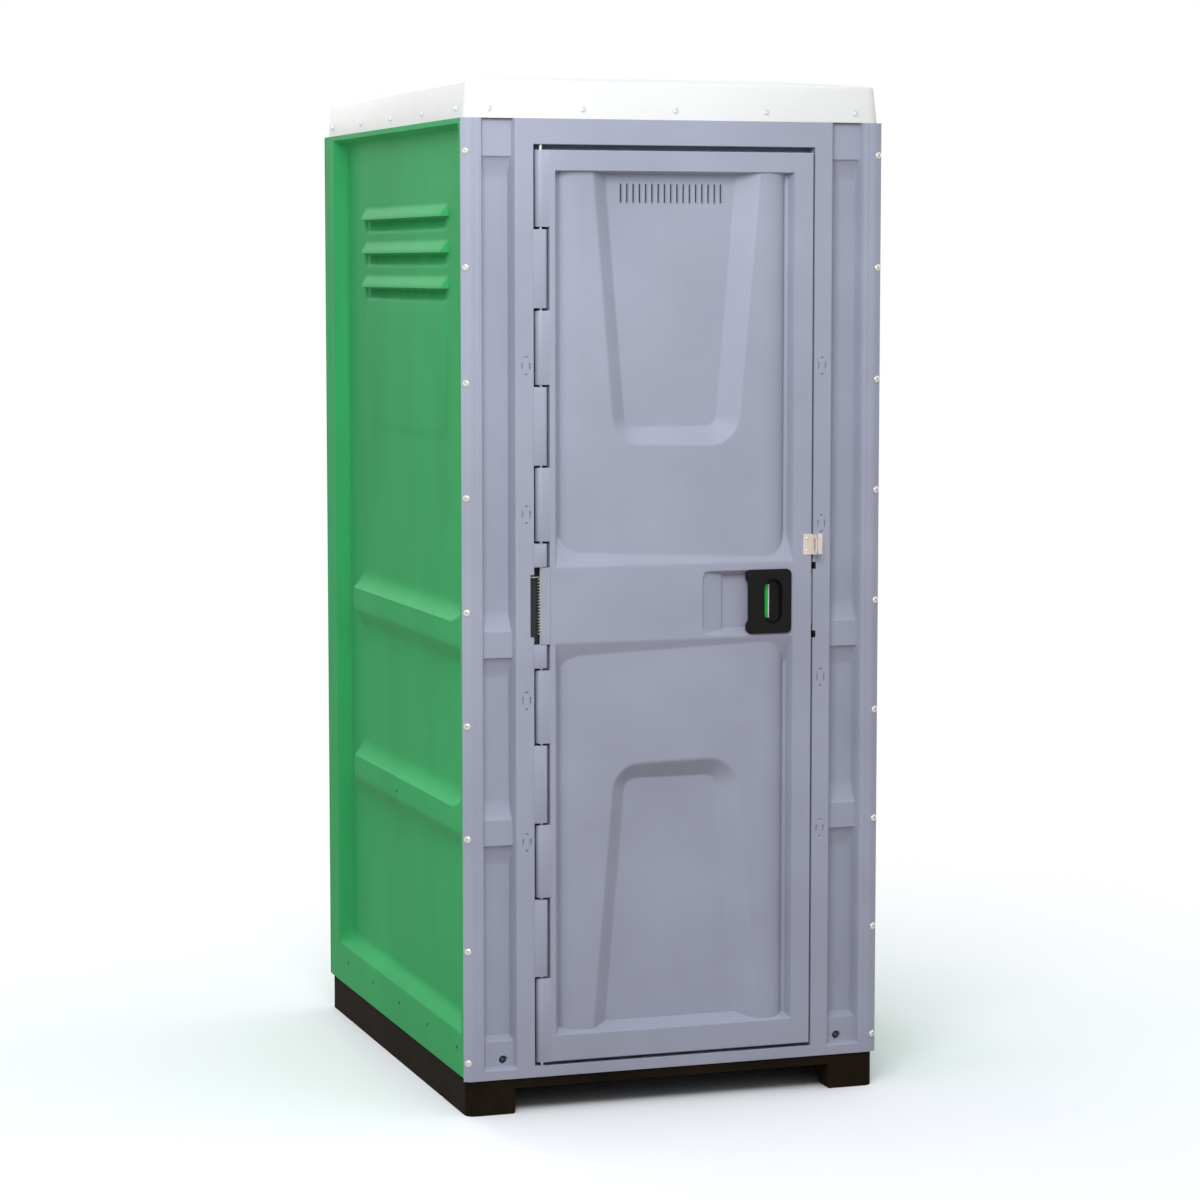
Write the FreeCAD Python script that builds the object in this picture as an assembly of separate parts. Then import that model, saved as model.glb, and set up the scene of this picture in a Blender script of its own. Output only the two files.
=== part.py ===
import FreeCAD, Part
import math
import os

# A free-standing portable toilet cabin: moulded base, four wall panels, a roof, a hinged door
# with a spring closer and a sliding latch, and a holding tank with seat and vent stack inside.
# Sizes are in millimetres. While a piece is made, x runs across the front, y runs back from the
# front face of the door frame and z runs up from the ground. The finished pieces are moved
# together so that the origin is at the middle of the footprint.

Vec = FreeCAD.Vector

# Overall cabin
body_half_width = 497.0      # outer plane of the side walls
body_depth = 1250.0          # front face of the frame to outer plane of the rear wall
roof_edge_height = 2300.0    # top of the roof's straight rim
roof_skirt_height = 82.0
roof_crown = 18.0            # rise of the roof in the middle
sheet = 6.0                  # thickness of the formed wall panels

# Base
base_height = 80.0
fork_gap_height = 58.0       # clear height for a pallet truck
fork_gap_half_width = 378.0
skirt_thickness = 28.0
foot_depth = 55.0
base_corner_radius = 22.0
base_front = 5.0             # the frame overhangs the base by this much
upstand_height = 90.0
upstand_thickness = 10.0
strap_notch_radius = 6.0
strap_notch_inset = 210.0

# Floor
floor_thickness = 6.0
tread_height = 1.5
tread_width = 8.0
tread_pitch = 70.0
tread_end_gap = 66.0         # from a tread's end to the floor plate's edge
floor_fit = 0.5              # gap between the floor plate and the upstand

# Wall panels
wall_bottom = 88.0
recess_depth = 30.0          # how far the field lies behind the outer plane
front_slope = 8.0            # run of the step behind the side wall's front lip
rear_slope = 24.0            # run of the step behind the rear flange
front_lip = 16.0
rear_flange = 95.0
rear_wall_flange = 70.0
top_slope = 8.0
top_lip = 12.0
plinth_top = 187.0
plinth_bevel = 28.0
recess_corner = 24.0
frame_return = 7.5           # how far the frame's edge reaches behind the side wall's lip
frame_side_gap = 1.0
facet_width = 19.0           # corner facet, across
facet_depth = 11.0           # corner facet, front to back
cheek_depth = 60.0           # how far the frame reaches back inside the side wall
roof_seat = 6.0              # the roof's skirt stands in from the outer plane by this much
roof_upstand_height = 44.0
roof_fit = 0.3               # gap between the roof's skirt and the strips inside it

# Ledges pressed into the wall panels
ledge_face = 3.0             # ledge face behind the outer plane
ledge_height = 53.0
ledge_lower_rise = 40.0
ledge_upper_rise = 56.0
ledge_sag = 4.5              # hollow of the slope above a ledge
lower_ledge_level = 635.0
upper_ledge_level = 1053.0
ledge_end_gap = 145.0        # from the rear flange's step to the ledge's rounded end
ledge_end_round = 14.0

# Louvres
louvre_count = 3
louvre_pitch = 81.0
louvre_top_gap = 210.0       # from the top of the wall down to the highest hood's lip
louvre_face = 14.0           # hood's lip behind the outer plane
louvre_rise = 34.0
louvre_crest = 3.0           # how far the hood's slope bulges
louvre_front_gap = 205.0     # from the front face to the louvres
louvre_rear_gap = 300.0      # and from them to the rear wall's outer plane
louvre_slot_inset = 30.0
louvre_slot = 3.6
louvre_margin = 40.0         # on the rear wall, from the field's edge to the louvres
louvre_slot_drop = 10.0
raised_panel_bottom = 1500.0
raised_panel_top = 1812.0
raised_panel_height = 5.0
raised_panel_corner = 30.0

# Front frame
frame_depth = 60.0
frame_skin = 6.0
doorway_half_width = 332.5
doorway_bottom = 105.0
header_height = 56.0
stop_start = 52.0            # the door closes against a flange this far behind the face
stop_lap = 14.0
hinge_stop_lap = 46.0
channel_door_gap = 42.5      # from the doorway to the channel's nearer rim
channel_corner_gap = 46.0    # from the channel's other rim to the side wall's outer plane
channel_depth = 36.0
channel_draft = 8.0
cross_block_face = 18.0
cross_block_ramp = 46.0
cross_block_sag = 4.5
cross_block_height = 57.0
top_block_height = 82.0
upper_block_level = 1030.0
lower_block_level = 608.0
channel_bottom = 103.0
bottom_block_top = 165.0
bottom_block_bevel = 11.0
bottom_block_face = 16.0
column_bolt_shift = 10.0     # nearer the door than the channel's middle
column_bolt_level = 122.0
column_bolt_radius = 4.0
column_bolt_hole = 10.0
column_bolt_sink = 6.0

# Door
door_gap = 4.0
door_bottom_gap = 8.0
door_top_gap = 12.0
door_skin = 5.0
shell_depth = 45.0           # depth of the outer shell
inner_shell = 5.0
door_rim = 49.5              # from the doorway's side to the recess
door_wall_depth = 24.0       # depth of the recess's steep side walls
door_wall_draft = 7.0
door_foot_width = 9.0        # bevel between a side wall and the field's foot
door_foot_depth = 5.0
door_crown_run = 68.0        # from the recess's rim to where its field is flat
door_field_left = 13.0       # depth of the field where its crown starts, hinge side
door_field_right = 5.0       # and on the latch side
band_centre = 1144.0
band_half_height = 85.0
recess_top_gap = 45.0        # from the door's top edge down to the upper recess
recess_bottom_gap = 60.0
recess_end_slope = 0.44      # rise of the recess's outer end per unit of depth
band_slope = 2.3             # and of its end at the middle band
pocket_floor = 38.0
pocket_bevel = 52.0
pocket_inset = 62.0          # from the field's edge to the pocket's floor at its open end
pocket_taper = 45.0          # how much nearer the middle its floor is at the closed end
upper_pocket_gap = 308.0     # from the band's edge to the pocket's closed end, at its floor
lower_pocket_gap = 316.0
pocket_corner = 22.0
vent_slot_count = 17
vent_slot_pitch = 14.8
vent_slot_width = 3.8
vent_slot_height = 42.0
vent_slot_drop = 27.0        # below the upper recess's top edge
vent_rim_width = 1.6
vent_rim_height = 1.2

# Hinge
pin_radius = 4.0
pin_inset = 19.5             # pin axis inside the doorway's side
pin_depth = 14.0             # pin axis behind the face
pin_bite = 14.0              # how far the pin enters the header and the sill
nose_radius = 14.0
running_clearance = 0.05
knuckle_end = 12.0           # end of the frame's knuckles beyond the pin axis
knuckle_round = 7.0
leaf_edge = 17.0             # edge of the door leaf beyond the pin axis
lower_knuckle_pitch = 174.0
upper_knuckle_count = 5
knuckle_gap = 5.0
short_knuckle = 52.0         # the frame's short knuckles above and below the spring
spring_bay_half = 87.0
spring_slot_half = 70.0
spring_slot_depth = 9.0

# Closer spring
spring_wire = 2.5
spring_mean_radius = 7.0
spring_turns = 38
spring_pitch = 3.4
spring_rise = 5.0            # lowest turn above the slot's bottom
spring_end_gap = 0.4         # free play at the end of each leg

# Spring cover
cover_thickness = 3.0
cover_reach = 3.8            # past the pin axis, towards the frame
cover_corner = 5.0

# Latch
latch_drop = 5.0             # the latch's middle below the band's
handle_gap = 54.5            # from the latch plate to the doorway's side
handle_width = 108.0
handle_height = 146.0
handle_proud = 7.0
handle_corner = 12.0
handle_scoop = 6.0
oval_inset = 41.0            # from the plate's hinge side to the oval
oval_width = 44.0
oval_height = 101.0
oval_draft = 5.0
oval_floor = 9.0
oval_floor_thickness = 2.0
window_inset = 0.5           # from the oval's rim to the window
window_width = 17.5
window_height = 78.0
grip_lead = 106.0            # how far the hand recess starts before the plate
grip_ramp = 60.0
grip_depth = 22.0
grip_lap = 36.0              # how far it runs under the plate
grip_draft = 12.0
latch_travel = 20.0
bolt_height = 20.0
bolt_front = 17.0
bolt_thickness = 8.0
bolt_lap = 26.0              # from the plate's hinge side to the bolt's inner end
bolt_setback = 2.0           # the drawn bolt's end behind the door's edge
carriage_clearance = 0.6
carriage_thickness = 2.4
field_width = 14.0
field_height = 76.0
field_thickness = 0.4
guide_length = 64.0
guide_edge_gap = 16.5        # from the guide to the doorway's side
guide_wall = 6.0
guide_clearance = 0.4
knob_width = 26.0
knob_height = 60.0
knob_depth = 24.0
stem_width = 10.0
escutcheon_thickness = 3.0
strike_height = 150.0
strike_width = 24.0
strike_thickness = 2.0
edge_notch_height = 16.0
edge_notch_width = 7.0
edge_notch_spacing = 157.0

# Hasp
hasp_rise = 99.0             # above the band's middle
hasp_height = 47.0
hasp_thickness = 2.0
hasp_reach = 30.0
hasp_flange_gap = 1.4        # each flange stands back this much from the middle of the door gap
hasp_leaf = 22.0
hasp_slot_width = 9.0
hasp_slot_height = 28.0
hasp_rivet_spacing = 28.0
hasp_rivet_shank = 2.0
hasp_rivet_head = 3.2

# Roof
roof_skirt = 5.0
roof_corner = 24.0
roof_draft = 7.0
roof_screw_rise = 21.0       # above the skirt's lower edge
roof_screw_front_gap = 65.0  # from the side walls' outer plane to the first screw
roof_screw_side_gap = 71.0
roof_inset = 170.0           # from the roof's edge to its crown

# Fasteners
rivet_radius = 8.5
rivet_height = 3.6
rivet_shank = 3.0
rivet_count = 9
rivet_bottom = 122.0
rivet_top_gap = 72.0
screw_radius = 7.5
screw_height = 3.2
screw_shank = 2.6
shank_clearance = 0.1        # between a shank and its hole
plinth_screw_level = 148.0
plinth_screw_front_gap = 65.0
plinth_screw_rear_gap = 197.0
rear_screw_end_gap = 141.0
plinth_screw_radius = 5.0
plinth_screw_head = 2.0
plinth_screw_count = 5

# Tank and seat
tank_half_width = 425.0
tank_depth = 448.0           # at the bottom
tank_overhang = 60.0         # how far the top reaches forward of the bottom
tank_rear_gap = 42.0
tank_height = 372.0
tank_wall = 5.0
tank_edge_radius = 28.0
seat_rear_gap = 320.0        # from the rear wall's outer plane to the seat's centre
seat_hole_width = 230.0
seat_hole_length = 280.0
seat_outer_width = 360.0
seat_outer_length = 400.0
seat_thickness = 20.0
lid_lift = 1.0
lid_thickness = 14.0
lid_edge = 8.0
lid_overhang = 4.0
lid_pin_radius = 4.0
lid_pin_back = 215.0         # lid hinge axis behind the seat's centre
lid_pin_lift = 2.0
lid_lug_width = 24.0
lid_lug_x = 80.0
lid_eye_radius = 9.0
lid_arm_length = 45.0
bracket_x = 118.0
bracket_width = 24.0
bracket_length = 28.0

# Vent stack
pipe_radius = 50.0
pipe_wall = 3.0
pipe_side_gap = 162.0
pipe_rear_gap = 130.0
pipe_hole_gap = 1.0
pipe_socket = 12.0
pipe_rise = 12.0             # above the roof's edge height
cap_radius = 66.0
cap_height = 20.0
cap_gap = 12.0
cap_wall = 3.0

# Fittings inside
holder_y = 560.0
holder_level = 760.0
holder_width = 150.0
holder_height = 90.0
holder_plate = 4.0
holder_reach = 70.0
ear_thickness = 6.0
spindle_radius = 9.0
spindle_end_radius = 4.0
hook_level = 1650.0
hook_y = 420.0
hook_plate_width = 34.0
hook_plate_height = 70.0
hook_plate_thickness = 4.0
hook_peg_radius = 6.0
hook_peg_length = 34.0
hook_knob_radius = 9.0

# Values worked out from the ones above
wall_top = roof_edge_height - roof_skirt_height
doorway_top = wall_top - header_height
door_bottom = doorway_bottom + door_bottom_gap
door_top = doorway_top - door_top_gap
ledge_levels = (lower_ledge_level, upper_ledge_level)
louvre_levels = [wall_top - louvre_top_gap - louvre_pitch * k for k in range(louvre_count)]
louvre_length = body_depth - louvre_front_gap - louvre_rear_gap
cross_block_levels = ((wall_top - top_block_height, wall_top),
                      (upper_block_level, upper_block_level + cross_block_height),
                      (lower_block_level, lower_block_level + cross_block_height))
upper_recess = (band_centre + band_half_height, door_top - recess_top_gap)
lower_recess = (door_bottom + recess_bottom_gap, band_centre - band_half_height)
upper_pocket_end = upper_recess[0] + upper_pocket_gap
lower_pocket_end = lower_recess[1] - lower_pocket_gap
vent_slot_top = upper_recess[1] - vent_slot_drop
vent_slot_levels = (vent_slot_top - vent_slot_height, vent_slot_top)
spring_bay = (band_centre - spring_bay_half, band_centre + spring_bay_half)
spring_slot = (band_centre - spring_slot_half, band_centre + spring_slot_half)
spring_bottom = spring_slot[0] + spring_rise
lower_knuckle_start = spring_bay[0] - short_knuckle - 4 * lower_knuckle_pitch
upper_knuckle_start = spring_bay[1] + short_knuckle
upper_knuckle_pitch = (door_top - upper_knuckle_start) / upper_knuckle_count
band_middle = band_centre - latch_drop
hasp_bottom = band_centre + hasp_rise
roof_screw_level = wall_top + roof_screw_rise
tank_rear = body_depth - tank_rear_gap
tank_front_bottom = tank_rear - tank_depth
tank_front_top = tank_front_bottom - tank_overhang
seat_centre = body_depth - seat_rear_gap
pipe_x = body_half_width - pipe_side_gap
pipe_y = body_depth - pipe_rear_gap
field_inner = recess_depth + sheet
channel_inner = doorway_half_width + channel_door_gap
channel_outer = body_half_width - channel_corner_gap
column_bolt_x = (channel_inner + channel_outer) / 2 - column_bolt_shift
pin_x = pin_inset - doorway_half_width
door_recess_half_width = doorway_half_width - door_rim
door_field_half_width = door_recess_half_width - door_crown_run
pocket_wide = door_field_half_width - pocket_inset
pocket_narrow = pocket_wide - pocket_taper
handle_right = doorway_half_width - handle_gap
handle_left = handle_right - handle_width
oval_left = handle_left + oval_inset
oval_right = oval_left + oval_width
window_left = oval_left + window_inset
window_right = window_left + window_width
grip_left = handle_left - grip_lead
grip_end = handle_left + grip_lap
bolt_start = handle_left + bolt_lap
guide_right = doorway_half_width - guide_edge_gap
guide_left = guide_right - guide_length
upstand_half = body_half_width - sheet
frame_side = body_half_width - field_inner - frame_side_gap
base_rear = body_depth - sheet
door_left = pin_x + leaf_edge
door_right = doorway_half_width - door_gap
hasp_front = -hasp_reach
latch_half = handle_height / 2
recess_foot = door_recess_half_width - door_wall_draft - door_foot_width
shift_y = -(body_depth + plinth_screw_head + hasp_front) / 2


def box(x0, x1, y0, y1, z0, z1):
    """A block between two corners."""
    return Part.makeBox(x1 - x0, y1 - y0, z1 - z0, Vec(x0, y0, z0))


def rod(radius, length, base, direction):
    """A cylinder from a base point along a direction."""
    return Part.makeCylinder(radius, length, base, direction)


def prism(points, travel):
    """A solid made by moving a flat polygon along a vector."""
    return Part.Face(Part.makePolygon(points + [points[0]])).extrude(travel)


def fuse(shapes):
    """One solid from touching shapes, with flush faces merged."""
    return shapes[0].multiFuse(shapes[1:]).removeSplitter()


def mirrored(shape):
    """The same shape on the other side of the cabin's middle plane."""
    return shape.mirror(Vec(0, 0, 0), Vec(1, 0, 0))


def both_sides(shapes):
    """A list of shapes followed by their mirror images."""
    return shapes + [mirrored(shape) for shape in shapes]


def export(name, shape):
    """Move a finished piece into the part's frame and write it."""
    placed = shape.copy()
    placed.translate(Vec(0, shift_y, 0))
    placed.exportStep("parts/" + name + ".step")
    print(name, "solids", len(placed.Solids), "valid", placed.isValid(),
          "litres", round(placed.Volume / 1e6, 3))


def rounded_rectangle(x0, x1, z0, z1, radius, y):
    """A closed wire in a plane of constant y, with round corners."""
    face = Part.Face(Part.makePolygon([Vec(x0, y, z0), Vec(x1, y, z0), Vec(x1, y, z1),
                                       Vec(x0, y, z1), Vec(x0, y, z0)]))
    if radius <= 0:
        return face.OuterWire
    block = face.extrude(Vec(0, 10, 0))
    upright = [e for e in block.Edges if abs(e.tangentAt(e.FirstParameter).y) > 0.99]
    rounded = block.makeFillet(radius, upright)
    flat = [f for f in rounded.Faces if abs(f.CenterOfMass.y - y) < 1e-6]
    return flat[0].OuterWire


def frustum(outer, inner):
    """A solid between two wires with matching corners."""
    return Part.makeLoft([outer, inner], True, True)


def edges_along(shape, axis, keep):
    """The straight edges along an axis whose middle passes a test."""
    found = []
    for edge in shape.Edges:
        if edge.Curve.TypeId != "Part::GeomLine":
            continue
        direction = edge.tangentAt(edge.FirstParameter)
        if abs(direction.dot(axis)) > 0.999 and keep(edge.CenterOfMass):
            found.append(edge)
    return found


def turned_solid(profile, base, normal):
    """A solid of revolution whose axis starts at a base point and runs along a normal."""
    solid = Part.Face(Part.Wire(profile)).revolve(Vec(0, 0, 0), Vec(0, 0, 1), 360)
    solid.Placement = FreeCAD.Placement(base, FreeCAD.Rotation(Vec(0, 0, 1), normal))
    return solid


def fastener(head_radius, head_height, shank_radius, shank_length, base, normal):
    """A domed rivet, screw or bolt whose shank runs back into the work."""
    top = Vec(0, 0, head_height)
    rim = Vec(head_radius, 0, 0)
    crown_radius = (head_radius ** 2 + head_height ** 2) / (2 * head_height)
    angle = math.asin(head_radius / crown_radius) / 2
    centre_z = head_height - crown_radius
    middle = Vec(crown_radius * math.sin(angle), 0, centre_z + crown_radius * math.cos(angle))
    root = Vec(shank_radius, 0, 0)
    tip = Vec(shank_radius, 0, -shank_length)
    end = Vec(0, 0, -shank_length)
    profile = [Part.Arc(top, middle, rim).toShape(), Part.makeLine(rim, root),
               Part.makeLine(root, tip), Part.makeLine(tip, end), Part.makeLine(end, top)]
    return turned_solid(profile, base, normal)


def rivet_levels():
    """Heights of the corner rivets."""
    pitch = (wall_top - rivet_top_gap - rivet_bottom) / (rivet_count - 1)
    return [rivet_bottom + pitch * k for k in range(rivet_count)]


def plinth_screw_places():
    """Distances of the plinth screws behind the front face."""
    run = body_depth - plinth_screw_front_gap - plinth_screw_rear_gap
    pitch = run / (plinth_screw_count - 1)
    return [plinth_screw_front_gap + pitch * k for k in range(plinth_screw_count)]


def roof_screw_places():
    """Positions and outward directions of the roof screws, on the skirt at their level."""
    share = (roof_screw_level - wall_top) / (roof_edge_height - wall_top)
    inset = roof_seat + roof_draft * share
    out = roof_skirt_height / math.hypot(roof_skirt_height, roof_draft)
    up = roof_draft / math.hypot(roof_skirt_height, roof_draft)
    places = []
    for share in (-1.0, -0.5, 0.0, 0.5, 1.0):
        across = share * (body_half_width - roof_screw_front_gap)
        along = body_depth / 2 + share * (body_depth / 2 - roof_screw_side_gap)
        places.append((Vec(across, inset, roof_screw_level), Vec(0, -out, up)))
        places.append((Vec(across, body_depth - inset, roof_screw_level), Vec(0, out, up)))
        places.append((Vec(body_half_width - inset, along, roof_screw_level), Vec(out, 0, up)))
        places.append((Vec(inset - body_half_width, along, roof_screw_level), Vec(-out, 0, up)))
    return places


def facet_normal():
    """Outward direction of the right front corner facet."""
    length = math.hypot(facet_width, facet_depth)
    return Vec(facet_depth / length, -facet_width / length, 0)


def facet_rivet_places(front):
    """Rivet positions and directions on the corner facets of the front or the rear."""
    normal = facet_normal()
    x = body_half_width - facet_width / 2
    y = facet_depth / 2
    places = []
    for level in rivet_levels():
        for side in (-1, 1):
            if front:
                places.append((Vec(side * x, y, level), Vec(side * normal.x, normal.y, 0)))
            else:
                places.append((Vec(side * x, body_depth - y, level),
                               Vec(side * normal.x, -normal.y, 0)))
    return places


def drill_for(shape, places, radius, length):
    """Cut shank holes at a list of fastener places."""
    drills = [rod(radius + shank_clearance, length + 10, base + normal * 5, normal * -1)
              for base, normal in places]
    return shape.cut(Part.makeCompound(drills))


def base_tray():
    """Pallet base: deck, side skirts, corner feet and the upstand that the walls screw to."""
    half = upstand_half
    block = box(-half, half, base_front, base_rear, 0, base_height)
    block = block.makeFillet(base_corner_radius, edges_along(block, Vec(0, 0, 1), lambda c: True))
    under = box(skirt_thickness - half, half - skirt_thickness, base_front + foot_depth,
                base_rear - foot_depth, -1, fork_gap_height)
    flare = 5.0
    inner = fork_gap_half_width
    gap = prism([Vec(-inner - flare, base_front - 1, -1), Vec(inner + flare, base_front - 1, -1),
                 Vec(inner, base_front - 1, flare), Vec(inner, base_front - 1, fork_gap_height),
                 Vec(-inner, base_front - 1, fork_gap_height), Vec(-inner, base_front - 1, flare)],
                Vec(0, base_rear - base_front + 2, 0))
    ring_top = base_height + upstand_height
    ring = box(-half, half, frame_depth, base_rear, base_height, ring_top)
    ring = ring.cut(box(upstand_thickness - half, half - upstand_thickness,
                        frame_depth + upstand_thickness, base_rear - upstand_thickness,
                        base_height - 1, ring_top + 1))
    cheek_room = corner_room()
    ring = ring.cut(Part.makeCompound(both_sides([cheek_room])))
    tray = block.cut(under).cut(gap).fuse(ring)
    doorway_gap = box(-doorway_half_width, doorway_half_width, frame_depth - 1,
                      frame_depth + upstand_thickness + 1, doorway_bottom, ring_top + 1)
    notches = []
    for y in (strap_notch_inset, body_depth - strap_notch_inset):
        notches.append(rod(strap_notch_radius, 2 * half + 2, Vec(-half - 1, y, 0), Vec(1, 0, 0)))
    tray = tray.cut(doorway_gap).cut(Part.makeCompound(notches))
    tray = drill_for(tray, side_plinth_places() + rear_plinth_places(), screw_shank, 30)
    tray = drill_for(tray, facet_rivet_places(False), rivet_shank, 30)
    tray = drill_for(tray, column_bolt_places(), column_bolt_radius, 200)
    return tray.removeSplitter()


def corner_room():
    """The space that the rear wall's folded corner needs beside the base's upstand."""
    x = body_half_width - 2 * sheet
    y = body_depth - sheet
    level = base_height
    points = [Vec(x, body_depth - cheek_depth - 1, level),
              Vec(x + sheet + 1, body_depth - cheek_depth - 1, level),
              Vec(x + sheet + 1, y + 1, level),
              Vec(body_half_width - facet_width - sheet, y + 1, level),
              Vec(body_half_width - facet_width - sheet, y, level),
              Vec(x, y - facet_depth, level)]
    return prism(points, Vec(0, 0, upstand_height + 1))


def floor_pan():
    """Floor plate with raised tread bars, laid inside the base's upstand."""
    fit = floor_fit
    half = upstand_half - upstand_thickness - fit
    front = frame_depth + upstand_thickness + fit
    rear = base_rear - upstand_thickness - fit
    top = base_height + floor_thickness
    pieces = [box(-half, half, front, rear, base_height, top)]
    count = int((tank_front_bottom - front - tread_pitch) / tread_pitch)
    for k in range(count):
        y = front + tread_pitch * (k + 1)
        pieces.append(box(tread_end_gap - half, half - tread_end_gap, y, y + tread_width, top,
                          top + tread_height))
    return fuse(pieces)


def panel_recess(x0, x1, first_slope, last_slope, offset):
    """The sunk field of a wall panel as a solid, made larger all round by an offset."""
    grow = offset * 1.1
    deep = recess_depth + offset
    reach = deep / recess_depth
    top = wall_top - top_lip
    return frustum(
        rounded_rectangle(x0 - grow, x1 + grow, plinth_top - grow, top + grow, recess_corner,
                          -0.01),
        rounded_rectangle(x0 - grow + first_slope * reach, x1 + grow - last_slope * reach,
                          plinth_top - grow + plinth_bevel * reach,
                          top + grow - top_slope * reach, recess_corner, deep))


def wall_panel(length, first_flange, last_flange, first_slope, last_slope, louvre_from,
               louvre_run, ledge_gap, first_notch, last_notch):
    """A formed wall panel seen from outside: x along it, y into the cabin, z up.

    The field lies behind the outer plane, with two ledges, three louvres and a raised panel
    pressed into it. A flange along each edge stays on the outer plane. The notches shorten the
    deep lip along the top where it would meet the next panel."""
    slab = box(0, length, 0, field_inner, wall_bottom, wall_top)
    x0 = first_flange
    x1 = length - last_flange
    hollow = box(-1, length + 1, sheet, field_inner + 1, wall_bottom - 1, wall_top - top_lip)
    hollow = hollow.cut(panel_recess(x0, x1, first_slope, last_slope, sheet))
    ends = [box(-1, first_notch, sheet, field_inner + 1, wall_bottom - 1, wall_top + 1),
            box(length - last_notch, length + 1, sheet, field_inner + 1, wall_bottom - 1,
                wall_top + 1)]
    panel = slab.cut(panel_recess(x0, x1, first_slope, last_slope, 0.0)).cut(hollow)
    panel = panel.cut(Part.makeCompound(ends))
    pressed = []
    hollows = []
    for level in ledge_levels:
        pressed.append(ledge(x0, x1 - ledge_gap, level, ledge_face))
        hollows.append(ledge_hollow(x0 + first_slope + sheet, x1 - ledge_gap - sheet, level))
    for level in louvre_levels:
        pressed.append(louvre(louvre_from, louvre_from + louvre_run, level))
    pressed.append(raised_panel(louvre_from, louvre_from + louvre_run))
    panel = panel.multiFuse(pressed)
    slots = []
    for level in louvre_levels:
        low = level - louvre_slot_drop
        slots.append(box(louvre_from + louvre_slot_inset,
                         louvre_from + louvre_run - louvre_slot_inset, recess_depth - 2,
                         field_inner + 1, low, low + louvre_slot))
    panel = panel.cut(Part.makeCompound(hollows + slots))
    return panel.fuse(roof_upstand(roof_corner, length - roof_corner)).removeSplitter()


def roof_upstand(x0, x1):
    """The strip on top of a wall inside the roof's skirt, leaning with the skirt."""
    foot = roof_seat + roof_skirt + roof_fit
    lean = roof_draft * roof_upstand_height / (roof_skirt_height - roof_skirt)
    top = wall_top + roof_upstand_height
    points = [Vec(x0, foot, wall_top), Vec(x0, foot + lean, top),
              Vec(x0, foot + lean + sheet, top), Vec(x0, foot + sheet, wall_top)]
    return prism(points, Vec(x1 - x0, 0, 0))


def ledge(x0, x1, level, face):
    """A ledge across the field: flat face, a hollowed slope above and a short slope below."""
    back = recess_depth + 0.5
    low = Vec(x0, back, level - ledge_lower_rise)
    edge_low = Vec(x0, face, level)
    edge_high = Vec(x0, face, level + ledge_height)
    high = Vec(x0, back, level + ledge_height + ledge_upper_rise)
    sag = Vec(x0, (face + back) / 2 + ledge_sag,
              level + ledge_height + ledge_upper_rise / 2 - ledge_sag / 2)
    wire = Part.Wire([Part.makeLine(low, edge_low), Part.makeLine(edge_low, edge_high),
                      Part.Arc(edge_high, sag, high).toShape(), Part.makeLine(high, low)])
    solid = Part.Face(wire).extrude(Vec(x1 - x0, 0, 0))
    edges = edges_along(solid, Vec(0, 0, 1), lambda c: c.x > x1 - 1 and c.y < face + 1)
    return solid.makeFillet(ledge_end_round, edges)


def ledge_hollow(x0, x1, level):
    """The space behind a ledge, open to the inside of the cabin."""
    return box(x0, x1, ledge_face + sheet, field_inner + 1, level + sheet,
               level + ledge_height - sheet)


def louvre(x0, x1, level):
    """A hood that slopes out over an air slot, with round ends."""
    back = recess_depth + 0.5
    high = Vec(x0, back, level + louvre_rise)
    crest = Vec(x0, louvre_face + louvre_crest, level + louvre_rise * 0.62)
    lip = Vec(x0, louvre_face, level)
    root = Vec(x0, back, level + 3)
    wire = Part.Wire([Part.Arc(high, crest, lip).toShape(), Part.makeLine(lip, root),
                      Part.makeLine(root, high)])
    return Part.Face(wire).extrude(Vec(x1 - x0, 0, 0))


def raised_panel(x0, x1):
    """A wide flat panel that stands a little out of the field below the louvres."""
    front = recess_depth - raised_panel_height
    slope = raised_panel_height * 2
    return frustum(
        rounded_rectangle(x0 + slope, x1 - slope, raised_panel_bottom + slope,
                          raised_panel_top - slope, raised_panel_corner - slope, front),
        rounded_rectangle(x0, x1, raised_panel_bottom, raised_panel_top, raised_panel_corner,
                          recess_depth + 0.5))


def turned(shape, degrees, offset):
    """A wall panel turned about the upright axis and moved to its side of the cabin."""
    placed = shape.copy()
    placed.rotate(Vec(0, 0, 0), Vec(0, 0, 1), degrees)
    placed.translate(offset)
    return placed


def side_plinth_places():
    """Plinth screws on both side walls."""
    places = []
    for y in plinth_screw_places():
        for side in (-1, 1):
            places.append((Vec(side * body_half_width, y, plinth_screw_level),
                           Vec(side, 0, 0)))
    return places


def rear_plinth_places():
    """Plinth screws on the rear wall."""
    spread = body_half_width - rear_screw_end_gap
    return [(Vec(share * spread, body_depth, plinth_screw_level), Vec(0, 1, 0))
            for share in (-1.0, -0.5, 0.0, 0.5, 1.0)]


def side_wall():
    """The right side wall; the left one is its mirror image."""
    length = body_depth - 2 * facet_depth
    panel = wall_panel(length, front_lip, rear_flange, front_slope, rear_slope,
                       louvre_front_gap - facet_depth, louvre_length, ledge_end_gap,
                       frame_return + frame_side_gap,
                       cheek_depth - facet_depth + frame_side_gap)
    panel = turned(panel, 90, Vec(body_half_width, facet_depth, 0))
    right = [p for p in side_plinth_places() if p[0].x > 0]
    panel = drill_for(panel, right, screw_shank, 30)
    roof = [p for p in roof_screw_places() if p[1].x > 0.5]
    return drill_for(panel, roof, screw_shank, 30)


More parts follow.
